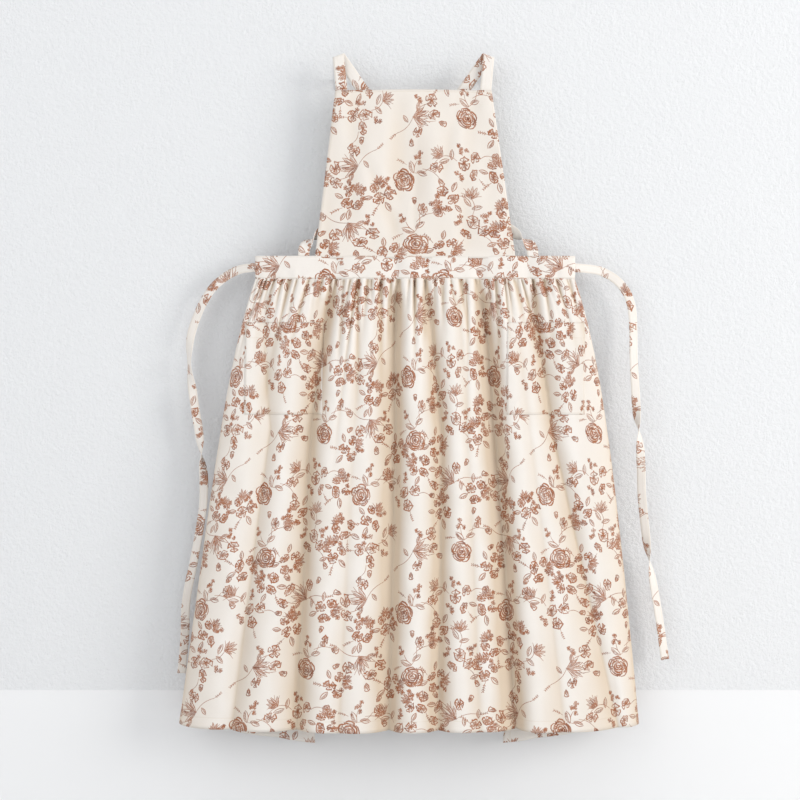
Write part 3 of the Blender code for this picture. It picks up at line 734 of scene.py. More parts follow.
def cotton(name, ground, shade, ink, ink_strength):
    """Plain-woven cotton: ground colour with slubs and faint yarn lines, printed and stitched."""
    made, g, shader = new_material(name)
    uv = flat_uv(g)

    cloud = g.noise(uv, 9.0, 3.0, 0.55)
    slubs = []
    for scale in ((240.0, 2600.0, 1.0), (2600.0, 240.0, 1.0)):
        threads = g.put(g.add("ShaderNodeMapping"), {"Vector": uv, "Scale": scale})
        slubs.append(g.noise(threads.outputs[0], 1.0, 2.0, 0.6))
    yarns = g.math("ADD", *slubs)
    tone = g.math("ADD", g.math("MULTIPLY", cloud, 0.7), g.math("MULTIPLY", yarns, 0.35))
    colour = g.mix(g.ramp(tone, 0.45, 0.95), (*shade, 1.0), (*ground, 1.0))

    if ink_strength > 0:
        near = [g.add("ShaderNodeGroup", node_tree=GROUPS[word]) for word in MOST]
        rough = g.math("MULTIPLY", g.math("SUBTRACT", g.noise(uv, 900.0, 2.0), 0.5), 0.0005)
        mask = g.ramp(g.math("ADD", near[0].outputs[0], rough), 0.00022, -0.00018)
        hatch = g.add("ShaderNodeTexWave", wave_type="BANDS", bands_direction="DIAGONAL")
        g.put(hatch, {"Vector": uv, "Scale": 190.0, "Distortion": 5.0, "Detail": 2.0,
                      "Detail Scale": 0.5})
        soft = g.ramp(g.math("ADD", near[1].outputs[0], g.math("MULTIPLY", rough, 3.0)),
                      0.0005, -0.0007)
        fill = g.math("MULTIPLY", soft, g.math("MULTIPLY_ADD", hatch.outputs["Fac"], 0.55, 0.15))
        pool = g.math("MULTIPLY", g.ramp(near[1].outputs[0], 0.0003, -0.0011),
                      g.ramp(g.noise(uv, 130.0, 2.0, 0.6), 0.42, 0.62))
        mask = g.math("MAXIMUM", g.math("MULTIPLY", mask, 0.96), g.math("MAXIMUM", fill, pool))
        fade = g.ramp(g.noise(uv, 60.0, 2.0, 0.6), 0.15, 0.75)
        grain = g.ramp(yarns, 0.55, 1.25)
        depth = g.math("MULTIPLY_ADD", fade, 0.30, 0.75)
        depth = g.math("MULTIPLY", depth, g.math("MULTIPLY_ADD", grain, 0.35, 0.75), clamp=True)
        amount = g.math("MULTIPLY", g.math("MULTIPLY", mask, depth), ink_strength)
        heavy = g.math("MAXIMUM", pool, g.math("MULTIPLY", g.ramp(
            g.noise(uv, 75.0, 1.0), 0.50, 0.66), 0.75))
        stain = g.mix(heavy, (*ink, 1.0), (0.55 * ink[0], 0.42 * ink[1], 0.40 * ink[2], 1.0))
        colour = g.mix(amount, colour, stain)

    line = g.add("ShaderNodeSeparateXYZ")
    g.put(line, {0: g.attribute("stitch_and_crease_shade")})
    off = g.math("ABSOLUTE", line.outputs[0])
    dash = g.math("PINGPONG", line.outputs[1], 0.0013)
    thread = g.math("MULTIPLY", g.ramp(off, 0.00045, 0.00015), g.ramp(dash, 0.0002, 0.0004))
    dip = g.ramp(off, 0.0016, 0.0003)
    colour = g.mix(g.math("MULTIPLY", thread, 0.55), colour, (0.78, 0.70, 0.58, 1.0))
    # Painted shade: the seam's sunken groove is darkened towards brown.
    colour = g.mix(g.math("MULTIPLY", dip, 0.07), colour, (0.50, 0.38, 0.26, 1.0))
    # Painted shade: the folds are darkened towards tan by the valley depth stored with the
    # stitching.
    uneven = g.math("MULTIPLY_ADD", cloud, 0.5, 0.85)
    painted_crease_shade = g.math("MULTIPLY", line.outputs[2], uneven, clamp=True)
    colour = g.mix(painted_crease_shade, colour, g.mix(1.0, colour, (0.78, 0.68, 0.56, 1.0), "MULTIPLY"))

    weave = []
    for axis in ("X", "Y"):
        wave = g.add("ShaderNodeTexWave", wave_type="BANDS", bands_direction=axis)
        g.put(wave, {"Vector": uv, "Scale": 500.0, "Distortion": 1.2, "Detail": 1.0,
                     "Detail Scale": 0.4})
        weave.append(wave.outputs["Fac"])
    cross = g.math("MULTIPLY", weave[0], weave[1])
    crease = g.noise(uv, 42.0, 3.0, 0.6)
    height = g.math("ADD", g.math("MULTIPLY", cross, 0.00006),
                    g.math("MULTIPLY", yarns, 0.00005))
    height = g.math("ADD", height, g.math("MULTIPLY", crease, 0.0007))
    height = g.math("SUBTRACT", height, g.math("MULTIPLY", dip, 0.00035))
    height = g.math("ADD", height, g.math("MULTIPLY", thread, 0.00025))
    relief = g.add("ShaderNodeBump")
    g.put(relief, {"Height": height, "Strength": 0.35, "Distance": 1.0})

    g.put(shader, {
        "Base Color": colour, "Normal": relief.outputs[0], "Roughness": 0.86,
        "Specular IOR Level": 0.25, "IOR": 1.46, "Sheen Weight": 0.22,
        "Sheen Roughness": 0.55, "Sheen Tint": (1.0, 0.96, 0.90, 1.0),
        "Metallic": 0.0, "Coat Weight": 0.0, "Transmission Weight": 0.0,
        "Subsurface Weight": 0.0,
    })
    return made


def steel(name):
    """Satin nickel-plated steel with fine brushing and darker smears."""
    made, g, shader = new_material(name)
    place_of = g.add("ShaderNodeTexCoord").outputs["Object"]
    stretch = g.add("ShaderNodeMapping")
    g.put(stretch, {"Vector": place_of, "Scale": (5200.0, 5200.0, 160.0)})
    brushed = g.noise(stretch.outputs[0], 1.0, 3.0, 0.6)
    smear = g.noise(place_of, 260.0, 4.0, 0.6)
    colour = g.mix(g.ramp(smear, 0.35, 0.70), (0.50, 0.48, 0.45, 1), (0.66, 0.64, 0.60, 1))
    rough = g.math("MULTIPLY_ADD", brushed, 0.22, 0.22)
    relief = g.add("ShaderNodeBump")
    g.put(relief, {"Height": brushed, "Strength": 0.12, "Distance": 0.0004})
    g.put(shader, {
        "Base Color": colour, "Metallic": 1.0, "Roughness": rough,
        "Normal": relief.outputs[0], "IOR": 1.5, "Specular IOR Level": 0.5,
        "Coat Weight": 0.0, "Sheen Weight": 0.0,
    })
    return made


GROUPS = {word: line_group(word) for word in MOST}
GROUND, SHADE = (0.835, 0.790, 0.740), (0.795, 0.742, 0.680)
INK = (0.345, 0.092, 0.013)
PRINTED = cotton("printed_cotton", GROUND, SHADE, INK, 1.0)
INNER = cotton("printed_cotton_inside", GROUND, SHADE, INK, 0.28)
LINING = cotton("plain_lining", (0.85, 0.80, 0.73), (0.80, 0.74, 0.65), INK, 0.0)
STEEL = steel("hook_steel")

# ---- the skirt's shape ------------------------------------


def half_width(s):
    """Half the skirt's width at share s of its length: a quick flare, then a straight one."""
    return SKIRT_TOP_HALF + SKIRT_FLARE * (1 - np.exp(-s / FLARE_DROP)) + SKIRT_SPREAD * s


def middle_x(s):
    """The skirt's middle, which leans slightly to the left as it falls."""
    return 0.003 * (1 - s) - 0.007 * s**2


def fold_line_y(s):
    """Depth of the side folds."""
    return BAND_FOLD_Y - 0.006 * s


# Long folds of the front: place across at the top, a third down and at the hem, depth in
# metres at the same three places, and the valley's reach to its left and right.
FOLDS = (
    (-0.915, -0.74, -0.76, 0.006, 0.012, 0.014, 0.07, 0.05),
    (-0.495, -0.527, -0.48, 0.020, 0.022, 0.022, 0.08, 0.040),
    (-0.12, -0.092, -0.086, 0.022, 0.025, 0.025, 0.07, 0.036),
    (0.076, 0.14, 0.124, 0.016, 0.018, 0.020, 0.045, 0.040),
    (0.414, 0.421, 0.46, 0.025, 0.030, 0.030, 0.07, 0.036),
    (0.705, 0.707, 0.898, 0.018, 0.014, 0.012, 0.06, 0.045),
    (-0.30, -0.31, -0.30, 0.003, 0.003, 0.006, 0.05, 0.05),
    (0.26, 0.27, 0.30, 0.004, 0.004, 0.006, 0.05, 0.05),
    (0.58, 0.59, 0.66, 0.003, 0.003, 0.006, 0.05, 0.05),
)


def long_folds(x, s):
    """Depth of the long folds: each valley falls off as exp(-|t|^1.25), steeper to its right."""
    total = 0.0
    for top, third, low, d0, d1, d2, left, right in FOLDS:
        centre = np.interp(s, [0, 0.33, 1], [top, third, low])
        deep = np.interp(s, [0, 0.33, 1], [d0, d1, d2])
        t = (x - centre) / np.where(x < centre, left, right)
        total = total + deep * np.exp(-(np.abs(t) ** 1.25))
    return total * np.clip((1 - np.abs(x)) / 0.10, 0, 1) * np.clip(s / 0.05, 0.25, 1)


def gathers(x, s, seed, count):
    """Small gathers under the band: narrow valleys that fade out at different drops."""
    rng = np.random.default_rng(seed)
    centre = np.linspace(-1, 1, count) + rng.uniform(-0.6, 0.6, count) * 2 / count
    fade = rng.uniform(0.030, 0.075, count) * rng.choice([1.0, 1.3, 2.6], count)
    deep = rng.uniform(0.0040, 0.0105, count)
    wide = rng.uniform(0.0055, 0.0125, count)
    lean = rng.uniform(-0.25, 0.25, count)
    total = 0.0
    for c, f, d, w, k in zip(centre, fade, deep, wide, lean):
        spread = w * (1 + 0.8 * s / f)
        off = np.abs(x - c - k * s) / spread
        total = total + d * np.exp(-((s / f) ** 1.3)) * np.exp(-(off**1.6))
    return total * np.clip(s / 0.006, 0.35, 1) * np.clip((1 - np.abs(x)) / 0.05, 0, 1)


def front_surface(x, s, fine=True):
    """The skirt front's middle surface at x across (-1 to 1) and share s of its length.

    In plan a superellipse whose depth grows towards the hem, pressed in by the long
    folds and, near the band, by the gathers.
    """
    x, s = np.broadcast_arrays(np.asarray(x, float), np.asarray(s, float))
    power = 4.0 - 1.4 * s
    depth = BAND_FOLD_R + (HEM_DEPTH - BAND_FOLD_R) * s * (1.3 - 0.3 * s)
    inside = np.clip(1 - np.abs(x) ** power, 0, 1)
    belly = 0.006 * np.exp(-(((s - 0.035) / 0.035) ** 2)) * np.clip(1 - np.abs(x) ** 6, 0, 1)
    y = fold_line_y(s) - depth * inside ** (1 / power) - belly + long_folds(x, s)
    if fine:
        y = y + gathers(x, s, 5, 58)
        y = y + 0.0010 * ruffle(x * 0.33, s * 0.76, 9, 0.05, 0.22) * np.clip(s / 0.05, 0, 1)
    z = WAIST_LOW_Z + SEAM_TUCK - (SKIRT_LENGTH + SEAM_TUCK) * s
    z = z + 0.0016 * ruffle(x * 0.35, 0 * x, 17, 0.12, 0.5) * s**2
    px = middle_x(s) + x * half_width(s)
    return np.stack([px, y, z], axis=-1)


SKIRT_PRINT = {}     # the front's flat places across and down, for the pockets' print


def make_skirt_front():
    """The gathered front panel with a 20 mm stitched hem."""
    cols, rows = 330, 146
    t = np.linspace(-1, 1, cols)
    x = 0.60 * np.sin(t * math.pi / 2) + 0.40 * t
    s = np.linspace(0, 1, rows) ** 1.16
    mid = front_surface(x[None, :], s[:, None])
    us = lengths(mid[-1])
    us = us / us[-1] * FLAT_SKIRT
    vs = even_rows(mid)
    vs = vs / vs[-1] * FLAT_LENGTH
    SKIRT_PRINT.update(x=x, us=us, s=s, vs=vs)
    # The valleys' depth goes in as painted shade for the folds.
    obj = shell("skirt_front_cloth", mid, hemmed(mid.shape[:2], vs), us, vs, PRINTED, INNER,
                seams=[("v", vs[-1] - HEM_STITCH)], crease_shade=creased(mid, 5),
                hem=vs[-1] - HEM_TURN)
    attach(obj, "apron")
    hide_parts("skirt_front")


def wing_surface(side, x, s):
    """A back panel's middle surface: x is the share from side fold to free edge.

    In plan a quarter circle behind the side fold, then a straight run with soft waves;
    the free corner droops below the front's hem.
    """
    x, s = np.broadcast_arrays(np.asarray(x, float), np.asarray(s, float))
    length = WING_TOP + (WING_HEM - WING_TOP) * s
    along = length * x
    radius = BAND_FOLD_R + (HEM_FOLD_R - BAND_FOLD_R) * s
    turn = np.clip(along / radius, 0, math.pi / 2)
    straight = np.clip(along - radius * math.pi / 2, 0, None)
    px = half_width(s) - radius + radius * np.cos(turn) - straight
    y = fold_line_y(s) + radius * np.sin(turn)
    ease = np.clip(s / 0.25, 0, 1) * np.clip(x / 0.15, 0, 1)
    for centre, deep, wide in ((0.30, 0.008, 0.11), (0.56, -0.004, 0.09), (0.80, 0.007, 0.09)):
        y = y + deep * ease * np.exp(-(((x - centre + 0.06 * s) / wide) ** 2))
    y = y - gathers(x * 2 - 1, s, 25 + side, 13) * 0.8
    y = y + 0.0012 * ruffle(px, s * 0.76, 31 + side, 0.06, 0.22) * ease
    reach = np.clip((along - HEM_FOLD_R) / (WING_HEM - HEM_FOLD_R), 0, 1)
    fall = 0.4 * reach + 0.6 * np.sin(reach * math.pi / 2)
    z = WAIST_LOW_Z + SEAM_TUCK - (SKIRT_LENGTH + SEAM_TUCK) * s - WING_DROOP * s * fall
    return np.stack([middle_x(s) + side * px, y, z], axis=-1)


def fold_hinge(side):
    """Start and end points of the stretch where cloth bends behind the side fold."""
    start = np.array([middle_x(0.0) + side * SKIRT_TOP_HALF, BAND_FOLD_Y, WAIST_LOW_Z])
    slope = np.array([side * SIDE_RUN, 0, -SKIRT_LENGTH])
    slope /= np.linalg.norm(slope)
    inward = np.array([-side, 0, 0]) - slope * float(np.dot([-side, 0, 0], slope))
    inward /= np.linalg.norm(inward)
    return start, start + inward * BEND_REACH


def make_wing(side_name):
    """One back panel, sewn to the front at the side fold and hemmed at its free edge."""
    side = -1 if side_name == "left" else 1
    cols, rows = 71, 160
    x = np.linspace(0, 1, cols) ** 1.1
    s = np.linspace(0, 1, rows) ** 1.12
    mid = wing_surface(side, x[None, :], s[:, None])
    us = lengths(mid[-1]) + 0.6
    vs = even_rows(mid)
    grid = mid if side < 0 else mid[:, ::-1]
    across = us if side < 0 else 1.2 - us[::-1]
    free = us[-1] - 0.012 if side < 0 else across[0] + 0.012
    obj = shell(f"skirt_back_{side_name}_cloth", grid, hemmed(grid.shape[:2], vs), across, vs,
                INNER, PRINTED, seams=[("v", vs[-1] - HEM_STITCH), ("u", free)],
                hem=vs[-1] - HEM_TURN)
    start, end = fold_hinge(side)
    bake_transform(obj)
    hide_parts(f"skirt_back_{side_name}")


# ---- band and bib -----------------------------------------


def make_band_front():
    """The waistband across the front: outer layer and lining as one padded strip."""
    cols, rows = 141, 12
    t = np.linspace(-1, 1, cols)
    x = 0.8 * np.sin(t * math.pi / 2) + 0.2 * t
    z = np.linspace(WAIST_TOP_Z, WAIST_LOW_Z, rows)
    mid = np.repeat(front_surface(x, 0.0, fine=False)[None], rows, axis=0)
    mid[..., 1] = BAND_FOLD_Y + (mid[..., 1] - BAND_FOLD_Y) * BAND_TUCK
    mid[..., 2] = z[:, None]
    share = np.linspace(0, 1, rows)[:, None]
    mid[..., 1] += 0.0007 * ruffle(x[None, :] * 0.27, 0.02 * share, 41, 0.012, 0.05, 20) * share
    us = lengths(mid[0]) + 0.31
    vs = even_rows(mid) + 0.13
    obj = shell("waistband_front_cloth", mid, band_thickness(rows, cols), us, vs, PRINTED, LINING,
                seams=[("v", vs[0] + 0.002), ("v", vs[-1] - 0.002)])
    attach(obj, "apron")
    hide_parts("waistband_front", "waistband_lining")


def make_band_back(side_name):
    """One end of the waistband, folded behind the front and finished square."""
    side = -1 if side_name == "left" else 1
    cols, rows = 40, 12
    along = np.linspace(0, WING_TOP, cols)
    x = along / WING_TOP
    mid = np.repeat(wing_surface(side, x, 0.0 * x)[None], rows, axis=0)
    flat_turn = np.clip(along / BAND_FOLD_R, 0, math.pi / 2)
    mid[..., 1] = BAND_FOLD_Y + BAND_FOLD_R * BAND_TUCK * np.sin(flat_turn)
    mid[..., 2] = np.linspace(WAIST_TOP_Z, WAIST_LOW_Z, rows)[:, None]
    us = along + 0.05
    vs = even_rows(mid) + 0.13
    grid = mid if side < 0 else mid[:, ::-1]
    across = us if side < 0 else 1.0 - us[::-1]
    free = across[-1] - 0.002 if side < 0 else across[0] + 0.002
    obj = shell(f"waistband_back_{side_name}_cloth", grid, band_thickness(rows, cols), across,
                vs, LINING, PRINTED,
                seams=[("v", vs[0] + 0.002), ("v", vs[-1] - 0.002), ("u", free)])
    start, end = fold_hinge(side)
    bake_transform(obj)
    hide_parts(f"waistband_back_{side_name}", f"waistband_back_lining_{side_name}")


def make_bib():
    """The faced bib: outer layer and lining turned out together, with soft drag creases."""
    cols, rows = 81, 66
    x = np.linspace(-1, 1, cols)[None, :]
    down = np.linspace(0, 1, rows)[:, None]
    half = (BIB_TOP_WIDTH + (BIB_BOTTOM_WIDTH - BIB_TOP_WIDTH) * down) / 2
    px = x * half + 0.003 * down
    pz = BIB_TOP_Z - (BIB_HEIGHT + 0.004) * down + 0 * x
    py = BIB_TOP_Y + (BAND_Y - BIB_TOP_Y) * down + 0.00095 + 0 * x
    hang = 0.0016 * np.exp(-(((np.abs(x) - 0.90) / 0.10) ** 2)) * np.exp(-down * 3)
    sag = 0.0022 * np.cos(x * 7.5 + 0.6) * np.sin(math.pi * np.clip(down * 1.05, 0, 1))
    creases = 0.0014 * ruffle(px, pz * 0.35, 53, 0.035, 0.12)
    drag = 0.0026 * np.exp(-(((px + 0.075 + 0.42 * (pz + 0.16)) / 0.012) ** 2)) * np.exp(
        -(((pz + 0.20) / 0.075) ** 2))
    drag = drag + 0.0016 * np.exp(-(((px - 0.012 - 0.04 * pz) / 0.006) ** 2)) * down
    slant = np.exp(-(((px - 0.075 - 0.20 * (pz + 0.05)) / 0.010) ** 2))
    drag = drag + 0.0018 * slant * (1 - down)
    fade = np.clip(np.minimum(down, 1 - down) / 0.08, 0, 1)
    py = py + (sag + creases + drag) * fade - hang
    pz = pz + 0.0008 * np.cos(x * 3) * (1 - down)
    mid = np.stack([px, py, pz], axis=-1)
    us = np.linspace(-1, 1, cols) * 0.152 + 0.45
    vs = even_rows(mid) + 0.02
    edge = np.minimum(1 - np.abs(x), (down + 0.02) * 1.6)
    thick = 0.0017 + 0.0011 * np.sqrt(np.clip(edge / 0.05, 0, 1)) + 0 * down
    # Painted shade: 0.14 darkens the whole bib evenly, and its creases darken it more.
    obj = shell("bib_cloth", mid, thick, us, vs, PRINTED, LINING,
                seams=[("v", vs[0] + 0.0035), ("u", us[0] + 0.0035), ("u", us[-1] - 0.0035)],
                crease_shade=0.14 + 0.5 * creased(mid, 5))
    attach(obj, "apron")
    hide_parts("bib_front", "bib_lining")


def make_pocket(side_name):
    """A patch pocket following the skirt's folds, with a stitched mouth hem."""
    side = -1 if side_name == "left" else 1
    cols, rows = 36, 40
    top, low = POCKET_DROP / SKIRT_LENGTH, POCKET_LOW / SKIRT_LENGTH
    s = np.linspace(top, low, rows)[:, None]
    shift = np.linspace(-POCKET_HALF, POCKET_HALF, cols)[None, :]
    x = (side * POCKET_X + shift) / half_width(s)
    base = front_surface(x, s)
    n = normals(base)
    mouth = np.clip(1 - (s - top) / 0.03, 0, 1) * (1 - (shift / POCKET_HALF) ** 2)
    mid = base + n * (0.0008 + 0.0006 * mouth)[..., None]
    us = np.interp(x[rows // 2], SKIRT_PRINT["x"], SKIRT_PRINT["us"])
    vs = np.interp(s[:, 0], SKIRT_PRINT["s"], SKIRT_PRINT["vs"])
    seams = [("v", vs[0] + 0.0265), ("u", us[0] + 0.003), ("u", us[-1] - 0.003),
             ("v", vs[-1] - 0.003)]
    # The valleys' depth goes in as painted shade for the folds.
    obj = shell(f"patch_pocket_{side_name}_cloth", mid, np.full(mid.shape[:2], POCKET_CLOTH),
                us, vs, PRINTED, INNER, crease_shade=creased(mid, 3), seams=seams)
    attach(obj, "apron")
    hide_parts(f"patch_pocket_{side_name}")


# ---- straps and ties --------------------------------------


def smooth_path(route, count):
    """Points at even steps of length along a Catmull-Rom curve through a route."""
    route = np.asarray(route, float)
    ends = np.vstack([2 * route[0] - route[1], route, 2 * route[-1] - route[-2]])
    t = np.linspace(0, 1, 24, endpoint=False)[:, None]
    parts = [
        0.5 * (2 * b + (c - a) * t + (2 * a - 5 * b + 4 * c - d) * t**2
               + (3 * b - a - 3 * c + d) * t**3)
        for a, b, c, d in zip(ends[:-3], ends[1:-2], ends[2:-1], ends[3:])
    ]
    dense = np.vstack([*parts, route[-1]])
    length = lengths(dense)
    even = np.linspace(0, length[-1], count)
    return np.stack([np.interp(even, length, dense[:, k]) for k in range(3)], axis=1)


def tangents(path):
    """Unit directions along a path of points."""
    step = np.gradient(path, axis=0)
    return step / np.linalg.norm(step, axis=1, keepdims=True)


def strap_stations(side_name):
    """Middle points and rulings of one shoulder strap, worked out for the left one.

    The front strip climbs from the bib to the prong, goes half round it on a cylinder
    whose axis halves the angle between strip and back run, and the back run falls across
    to the far side of the band, where it makes a half twist.
    """
    radius = STRAP_FOLD_R
    foot_x = BIB_TOP_WIDTH / 2 - STRAP_WIDTH / 2 - 0.0003
    foot = np.array([-foot_x, BIB_TOP_Y + 0.00095, BIB_TOP_Z - 0.010])
    axis = np.array([-HOOK_X, PRONG_AXIS_Y, FOLD_AXIS_Z])
    lean = math.atan2(HOOK_X - foot_x, FOLD_AXIS_Z - BIB_TOP_Z - 0.0004)
    run = math.radians(STRAP_RUN_ANGLE)
    tilt = (lean + run) / 2
    along = np.array([math.cos(tilt), 0, math.sin(tilt)])
    normal = np.array([-math.sin(tilt), 0, math.cos(tilt)])
    upward = np.array([-math.sin(lean), 0, math.cos(lean)])
    helix = math.asin(float(upward @ along))
    level = np.array([1 / math.cos(lean), 0, 0])
    strip_top = axis + np.array([0, -radius, 0])
    foot[0] += 0.010 * math.tan(lean)
    share = np.linspace(0, 1, 16)[:-1, None]
    strip = foot + (strip_top - foot) * share
    strip_rule = level + (along / math.cos(helix) - level) * share**1.5
    angle = np.linspace(0, math.pi, 21)[:, None]
    bend = (
        axis + along * radius * angle * math.tan(helix)
        + normal * radius * np.sin(angle) - np.array([0, 1, 0]) * radius * np.cos(angle)
    )
    bend_rule = np.repeat((along / math.cos(helix))[None], len(angle), axis=0)
    away = np.array([math.sin(run), 0, -math.cos(run)])
    start = bend[-1]
    end = np.array([STRAP_END_X[side_name], BAND_Y + 0.0011, WAIST_TOP_Z - 0.001])
    nearer = CROSSING_STEP[side_name]
    span = end - start
    middle = (
        (0.330, 0.400, 0.001 + nearer), (0.530, 0.580, 0.001 + nearer),
        (0.710, 0.735, 0.000 + nearer * 0.6), (0.857, 0.848, -0.0030),
        (0.945, 0.908, -0.0075), (0.992, 0.952, -0.0115),
    )
    route = [start, start + away * 0.030, start + away * 0.072 + [0, nearer * 0.5, 0]]
    for over, down, deep in middle:
        route.append(start + np.array([span[0] * over, deep, span[2] * down]))
    route.append(end)
    fall = smooth_path(route, 170)[1:]
    direction = tangents(np.vstack([start, fall]))[1:]
    rule = np.cross(direction, [0, 1, 0])
    rule /= np.linalg.norm(rule, axis=1, keepdims=True)
    third = np.cross(direction, rule)
    share = np.linspace(0, 1, len(fall))
    twist = math.pi * np.clip((share - 0.86) / 0.12, 0, 1)[:, None]
    twist = math.pi * (1 - np.cos(twist)) / 2
    fall_rule = rule * np.cos(twist) + third * np.sin(twist)
    ease = np.clip(share * 8, 0, 1)[:, None]
    fall_rule = bend_rule[-1] + (fall_rule - bend_rule[-1]) * ease
    square = np.clip((share - 0.97) / 0.03, 0, 1)[:, None]
    fall_rule = fall_rule + (np.array([-1, 0, 0]) - fall_rule) * square
    points = np.vstack([strip, bend, fall])
    rules = np.vstack([strip_rule, bend_rule, fall_rule]) * STRAP_WIDTH / 2
    if side_name == "right":
        points = points * [-1, 1, 1]
        rules = rules * [-1, 1, 1]
    return points, rules


def ribbon(name, points, rules, thick, u0, v0):
    """A sewn tape: rulings about a path, flat sides slightly proud between edge stitching."""
    across = np.linspace(-1, 1, 7)
    mid = points[:, None] + rules[:, None] * across[None, :, None]
    wide = float(np.median(np.linalg.norm(rules, axis=1))) * 2
    us = (across + 1) / 2 * wide + u0
    vs = lengths(points) + v0
    shape = thick * (0.62 + 0.38 * np.sqrt(np.clip(1 - np.abs(across) ** 2.2, 0, 1)))
    grid = np.repeat(shape[None], len(points), axis=0)
    if np.cross(mid[1, 0] - mid[0, 0], mid[0, 1] - mid[0, 0])[1] > 0:
        mid = mid[:, ::-1]
    return shell(name, mid, grid, us, vs, PRINTED, PRINTED, back_shift=(0.11, 0.17),
                 seams=[("u", us[0] + 0.002), ("u", us[-1] - 0.002)])


def make_strap(side_name):
    """One shoulder strap."""
    points, rules = strap_stations(side_name)
    v0 = 0.05 if side_name == "left" else 0.27
    obj = ribbon(f"shoulder_strap_{side_name}_cloth", points, rules, STRAP_CLOTH, 0.02, v0)
    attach(obj, "apron")
    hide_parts(f"shoulder_strap_{side_name}")


# Routes of the ties: drop below the band's middle, and distance outside the skirt's edge.
TIE_ROUTES = {
    "left": (
        (0.000, 0.0080), (0.002, 0.022), (0.008, 0.040), (0.018, 0.057), (0.036, 0.071),
        (0.060, 0.079), (0.091, 0.084), (0.120, 0.085), (0.152, 0.080), (0.180, 0.073),
        (0.212, 0.062), (0.242, 0.052), (0.281, 0.039), (0.323, 0.028), (0.359, 0.019),
        (0.396, 0.014), (0.432, 0.013), (0.502, 0.016), (0.555, 0.020), (0.590, 0.020),
        (0.636, 0.015), (0.685, 0.012), (0.704, 0.011),
    ),
    "right": (
        (0.000, 0.0080), (0.002, 0.022), (0.004, 0.038), (0.009, 0.054), (0.022, 0.074),
        (0.043, 0.084), (0.070, 0.085), (0.108, 0.078), (0.156, 0.068), (0.202, 0.062),
        (0.250, 0.057), (0.287, 0.056), (0.344, 0.052), (0.392, 0.048), (0.450, 0.048),
        (0.497, 0.049), (0.549, 0.053), (0.607, 0.057), (0.680, 0.060),
    ),
}


def half_turn(share, middle, steep):
    """Half a turn that builds up round a place on the tie: pi / (1 + exp(-steep d))."""
    return math.pi / (1 + np.exp(-(share - middle) * steep))


def make_tie(side_name):
    """One waist tie: a narrow tape from the side seam, curling and twisting as it hangs."""
    side = -1 if side_name == "left" else 1
    route = []
    for drop, outside in TIE_ROUTES[side_name]:
        z = BAND_MID_Z - drop
        s = max((WAIST_LOW_Z - z) / SKIRT_LENGTH, 0.0)
        edge = middle_x(s) + side * half_width(s)
        ease = min(outside / 0.05, 1.0) if z > WAIST_LOW_Z else 1.0
        y = BAND_FOLD_Y + (TIE_Y - BAND_FOLD_Y) * ease
        route.append((edge + side * outside, y, z))
    route[0] = (middle_x(0.0) + side * TIE_ROOT_X, BAND_FOLD_Y, BAND_MID_Z)
    path = smooth_path(route, 190)
    share = np.linspace(0, 1, len(path))
    if side < 0:
        path[:, 1] += 0.006 * np.sin(share * 9.0) * np.clip(share * 4, 0, 1)
        turn = 0.35 * np.sin(share * 11 + 0.5) * np.clip(share * 6, 0, 1)
        turn += 1.25 * np.exp(-(((share - 0.30) / 0.05) ** 2))
        turn += half_turn(share, 0.50, 46)
    else:
        path[:, 1] += 0.006 * np.sin(share * 8.0 + 0.8) * np.clip(share * 4, 0, 1)
        turn = 0.30 * np.sin(share * 10 + 2.0) * np.clip(share * 6, 0, 1)
        turn += half_turn(share, 0.46, 40)
        turn += half_turn(share, 0.76, 44)
    direction = tangents(path)
    rule = np.cross([0, 1, 0], direction)
    rule /= np.linalg.norm(rule, axis=1, keepdims=True)
    third = np.cross(direction, rule)
    rule = rule * np.cos(turn)[:, None] + third * np.sin(turn)[:, None]
    obj = ribbon(f"waist_tie_{side_name}_cloth", path, rule * TIE_WIDTH / 2, TIE_CLOTH,
                 0.21 if side < 0 else 0.06, 0.09)
    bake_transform(obj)
    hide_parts(f"waist_tie_{side_name}")


# ---- hooks ------------------------------------------------


def finish_hooks():
    """The hooks keep their own solids and are plated."""
    for name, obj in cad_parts.items():
        if not name.startswith("hook_"):
            continue
        obj.data.materials.clear()
        obj.data.materials.append(STEEL)


# ---- stage and light --------------------------------------

FLOOR_Z = -1.290
FLOOR_LINE_Z = -1.0716      # where the pale skirting begins
STAGE_HALF = 6.0
WALL_Y = 0.0005


def plain(name, colour, bump=0.0):
    """A matt painted surface, faintly uneven where bump is set."""
    made, g, shader = new_material(name)
    g.put(shader, {"Base Color": (*colour, 1.0), "Roughness": 0.9, "Specular IOR Level": 0.2})
    if bump:
        place_of = g.add("ShaderNodeTexCoord").outputs["Object"]
        lumps = g.noise(place_of, 130.0, 6.0, 0.68)
        relief = g.add("ShaderNodeBump")
        g.put(relief, {"Height": lumps, "Strength": bump, "Distance": 0.006})
        g.put(shader, {"Normal": relief.outputs[0]})
    return made


def one_sided(material):
    """The surface vanishes when seen from behind, so that it never hides the object."""
    tree = material.node_tree
    g = Graph(tree)
    shader = tree.nodes["Principled BSDF"]
    out = tree.nodes["Material Output"]
    facing = g.add("ShaderNodeNewGeometry").outputs["Backfacing"]
    clear = g.add("ShaderNodeBsdfTransparent")
    mix = g.add("ShaderNodeMixShader")
    tree.links.new(facing, mix.inputs[0])
    tree.links.new(shader.outputs[0], mix.inputs[1])
    tree.links.new(clear.outputs[0], mix.inputs[2])
    tree.links.new(mix.outputs[0], out.inputs["Surface"])
    return material


def panel(name, corners, material):
    """A flat stage panel facing the way its corners run anticlockwise."""
    mesh = bpy.data.meshes.new(name)
    mesh.from_pydata(corners, [], [(0, 1, 2, 3)])
    mesh.materials.append(material)
    linked(name, mesh)


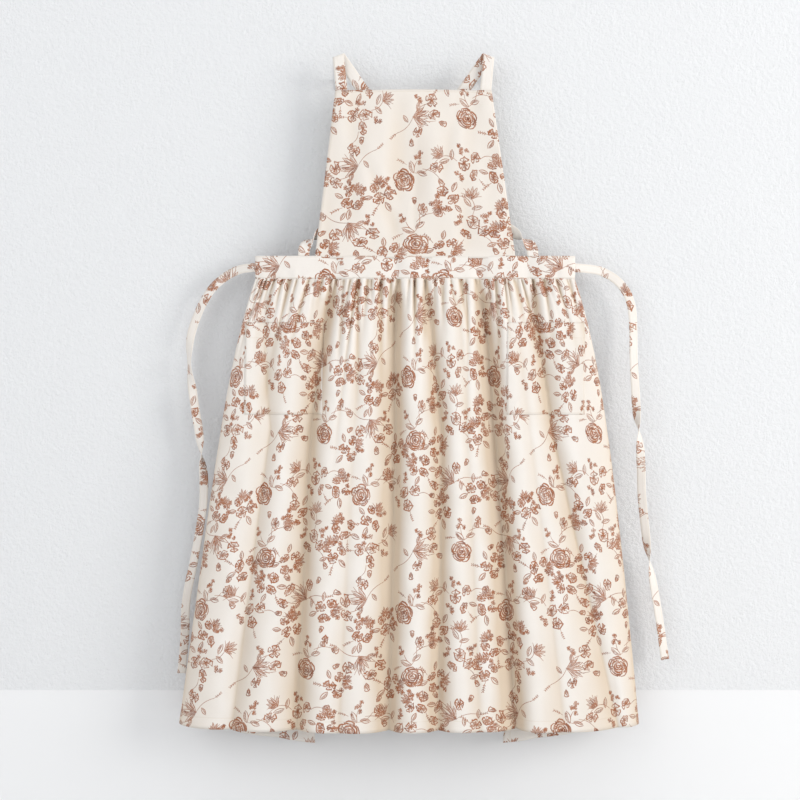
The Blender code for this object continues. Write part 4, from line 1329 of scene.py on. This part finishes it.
def make_stage():
    """A plastered wall, a pale skirting flush with it, and a floor below the hem."""
    floor_z, line_z, wide, wall_y = FLOOR_Z, FLOOR_LINE_Z, STAGE_HALF, WALL_Y
    wall = one_sided(plain("stage_wall", (0.80, 0.805, 0.81), 0.55))
    pale = one_sided(plain("stage_floor", (0.84, 0.84, 0.84)))
    panel("stage_wall", [(-wide, wall_y, line_z), (wide, wall_y, line_z),
                         (wide, wall_y, 3.0), (-wide, wall_y, 3.0)], wall)
    panel("stage_skirting", [(-wide, wall_y, floor_z), (wide, wall_y, floor_z),
                             (wide, wall_y, line_z), (-wide, wall_y, line_z)], pale)
    panel("stage_floor", [(-wide, -8.0, floor_z), (wide, -8.0, floor_z),
                          (wide, wall_y, floor_z), (-wide, wall_y, floor_z)], pale)

# Each lamp's name, place, aim, size in metres, power in watts and colour.
LAMPS = (
    ("key", (4.4, -2.7, 0.8), (0, -0.05, -0.75), 2.3, 138, (1.0, 0.985, 0.965)),
    ("fill", (-2.2, -3.4, 0.9), (0, -0.05, -0.6), 3.0, 34, (0.98, 0.99, 1.0)),
)
SKY_COLOUR = (0.95, 0.97, 1, 1)
SKY_STRENGTH = 0.72


def lamp(name, spot, aim, size, power, colour):
    """A square area light aimed at a point."""
    data = bpy.data.lights.new(name, "AREA")
    data.shape = "SQUARE"
    data.size = size
    data.energy = power
    data.color = colour
    obj = linked(name, data)
    obj.location = spot
    to = np.array(aim, float) - np.array(spot, float)
    obj.rotation_euler = Vector(to).to_track_quat("-Z", "Y").to_euler()


def make_light():
    """A large soft key from the right, a weaker fill from the left and an even sky.

    Colours are shown straight, without a film curve.
    """
    for row in LAMPS:
        lamp(*row)
    world = bpy.data.worlds.new("sky")
    world.use_nodes = True
    sky = world.node_tree.nodes["Background"].inputs
    sky["Color"].default_value = SKY_COLOUR
    sky["Strength"].default_value = SKY_STRENGTH
    bpy.context.scene.world = world
    bpy.context.scene.view_settings.view_transform = "Standard"


# ---- the whole scene --------------------------------------

make_skirt_front()
for which in ("left", "right"):
    make_wing(which)
    make_band_back(which)
    make_pocket(which)
    make_strap(which)
    make_tie(which)
make_band_front()
make_bib()
finish_hooks()
make_stage()
make_light()

bpy.context.view_layer.update()
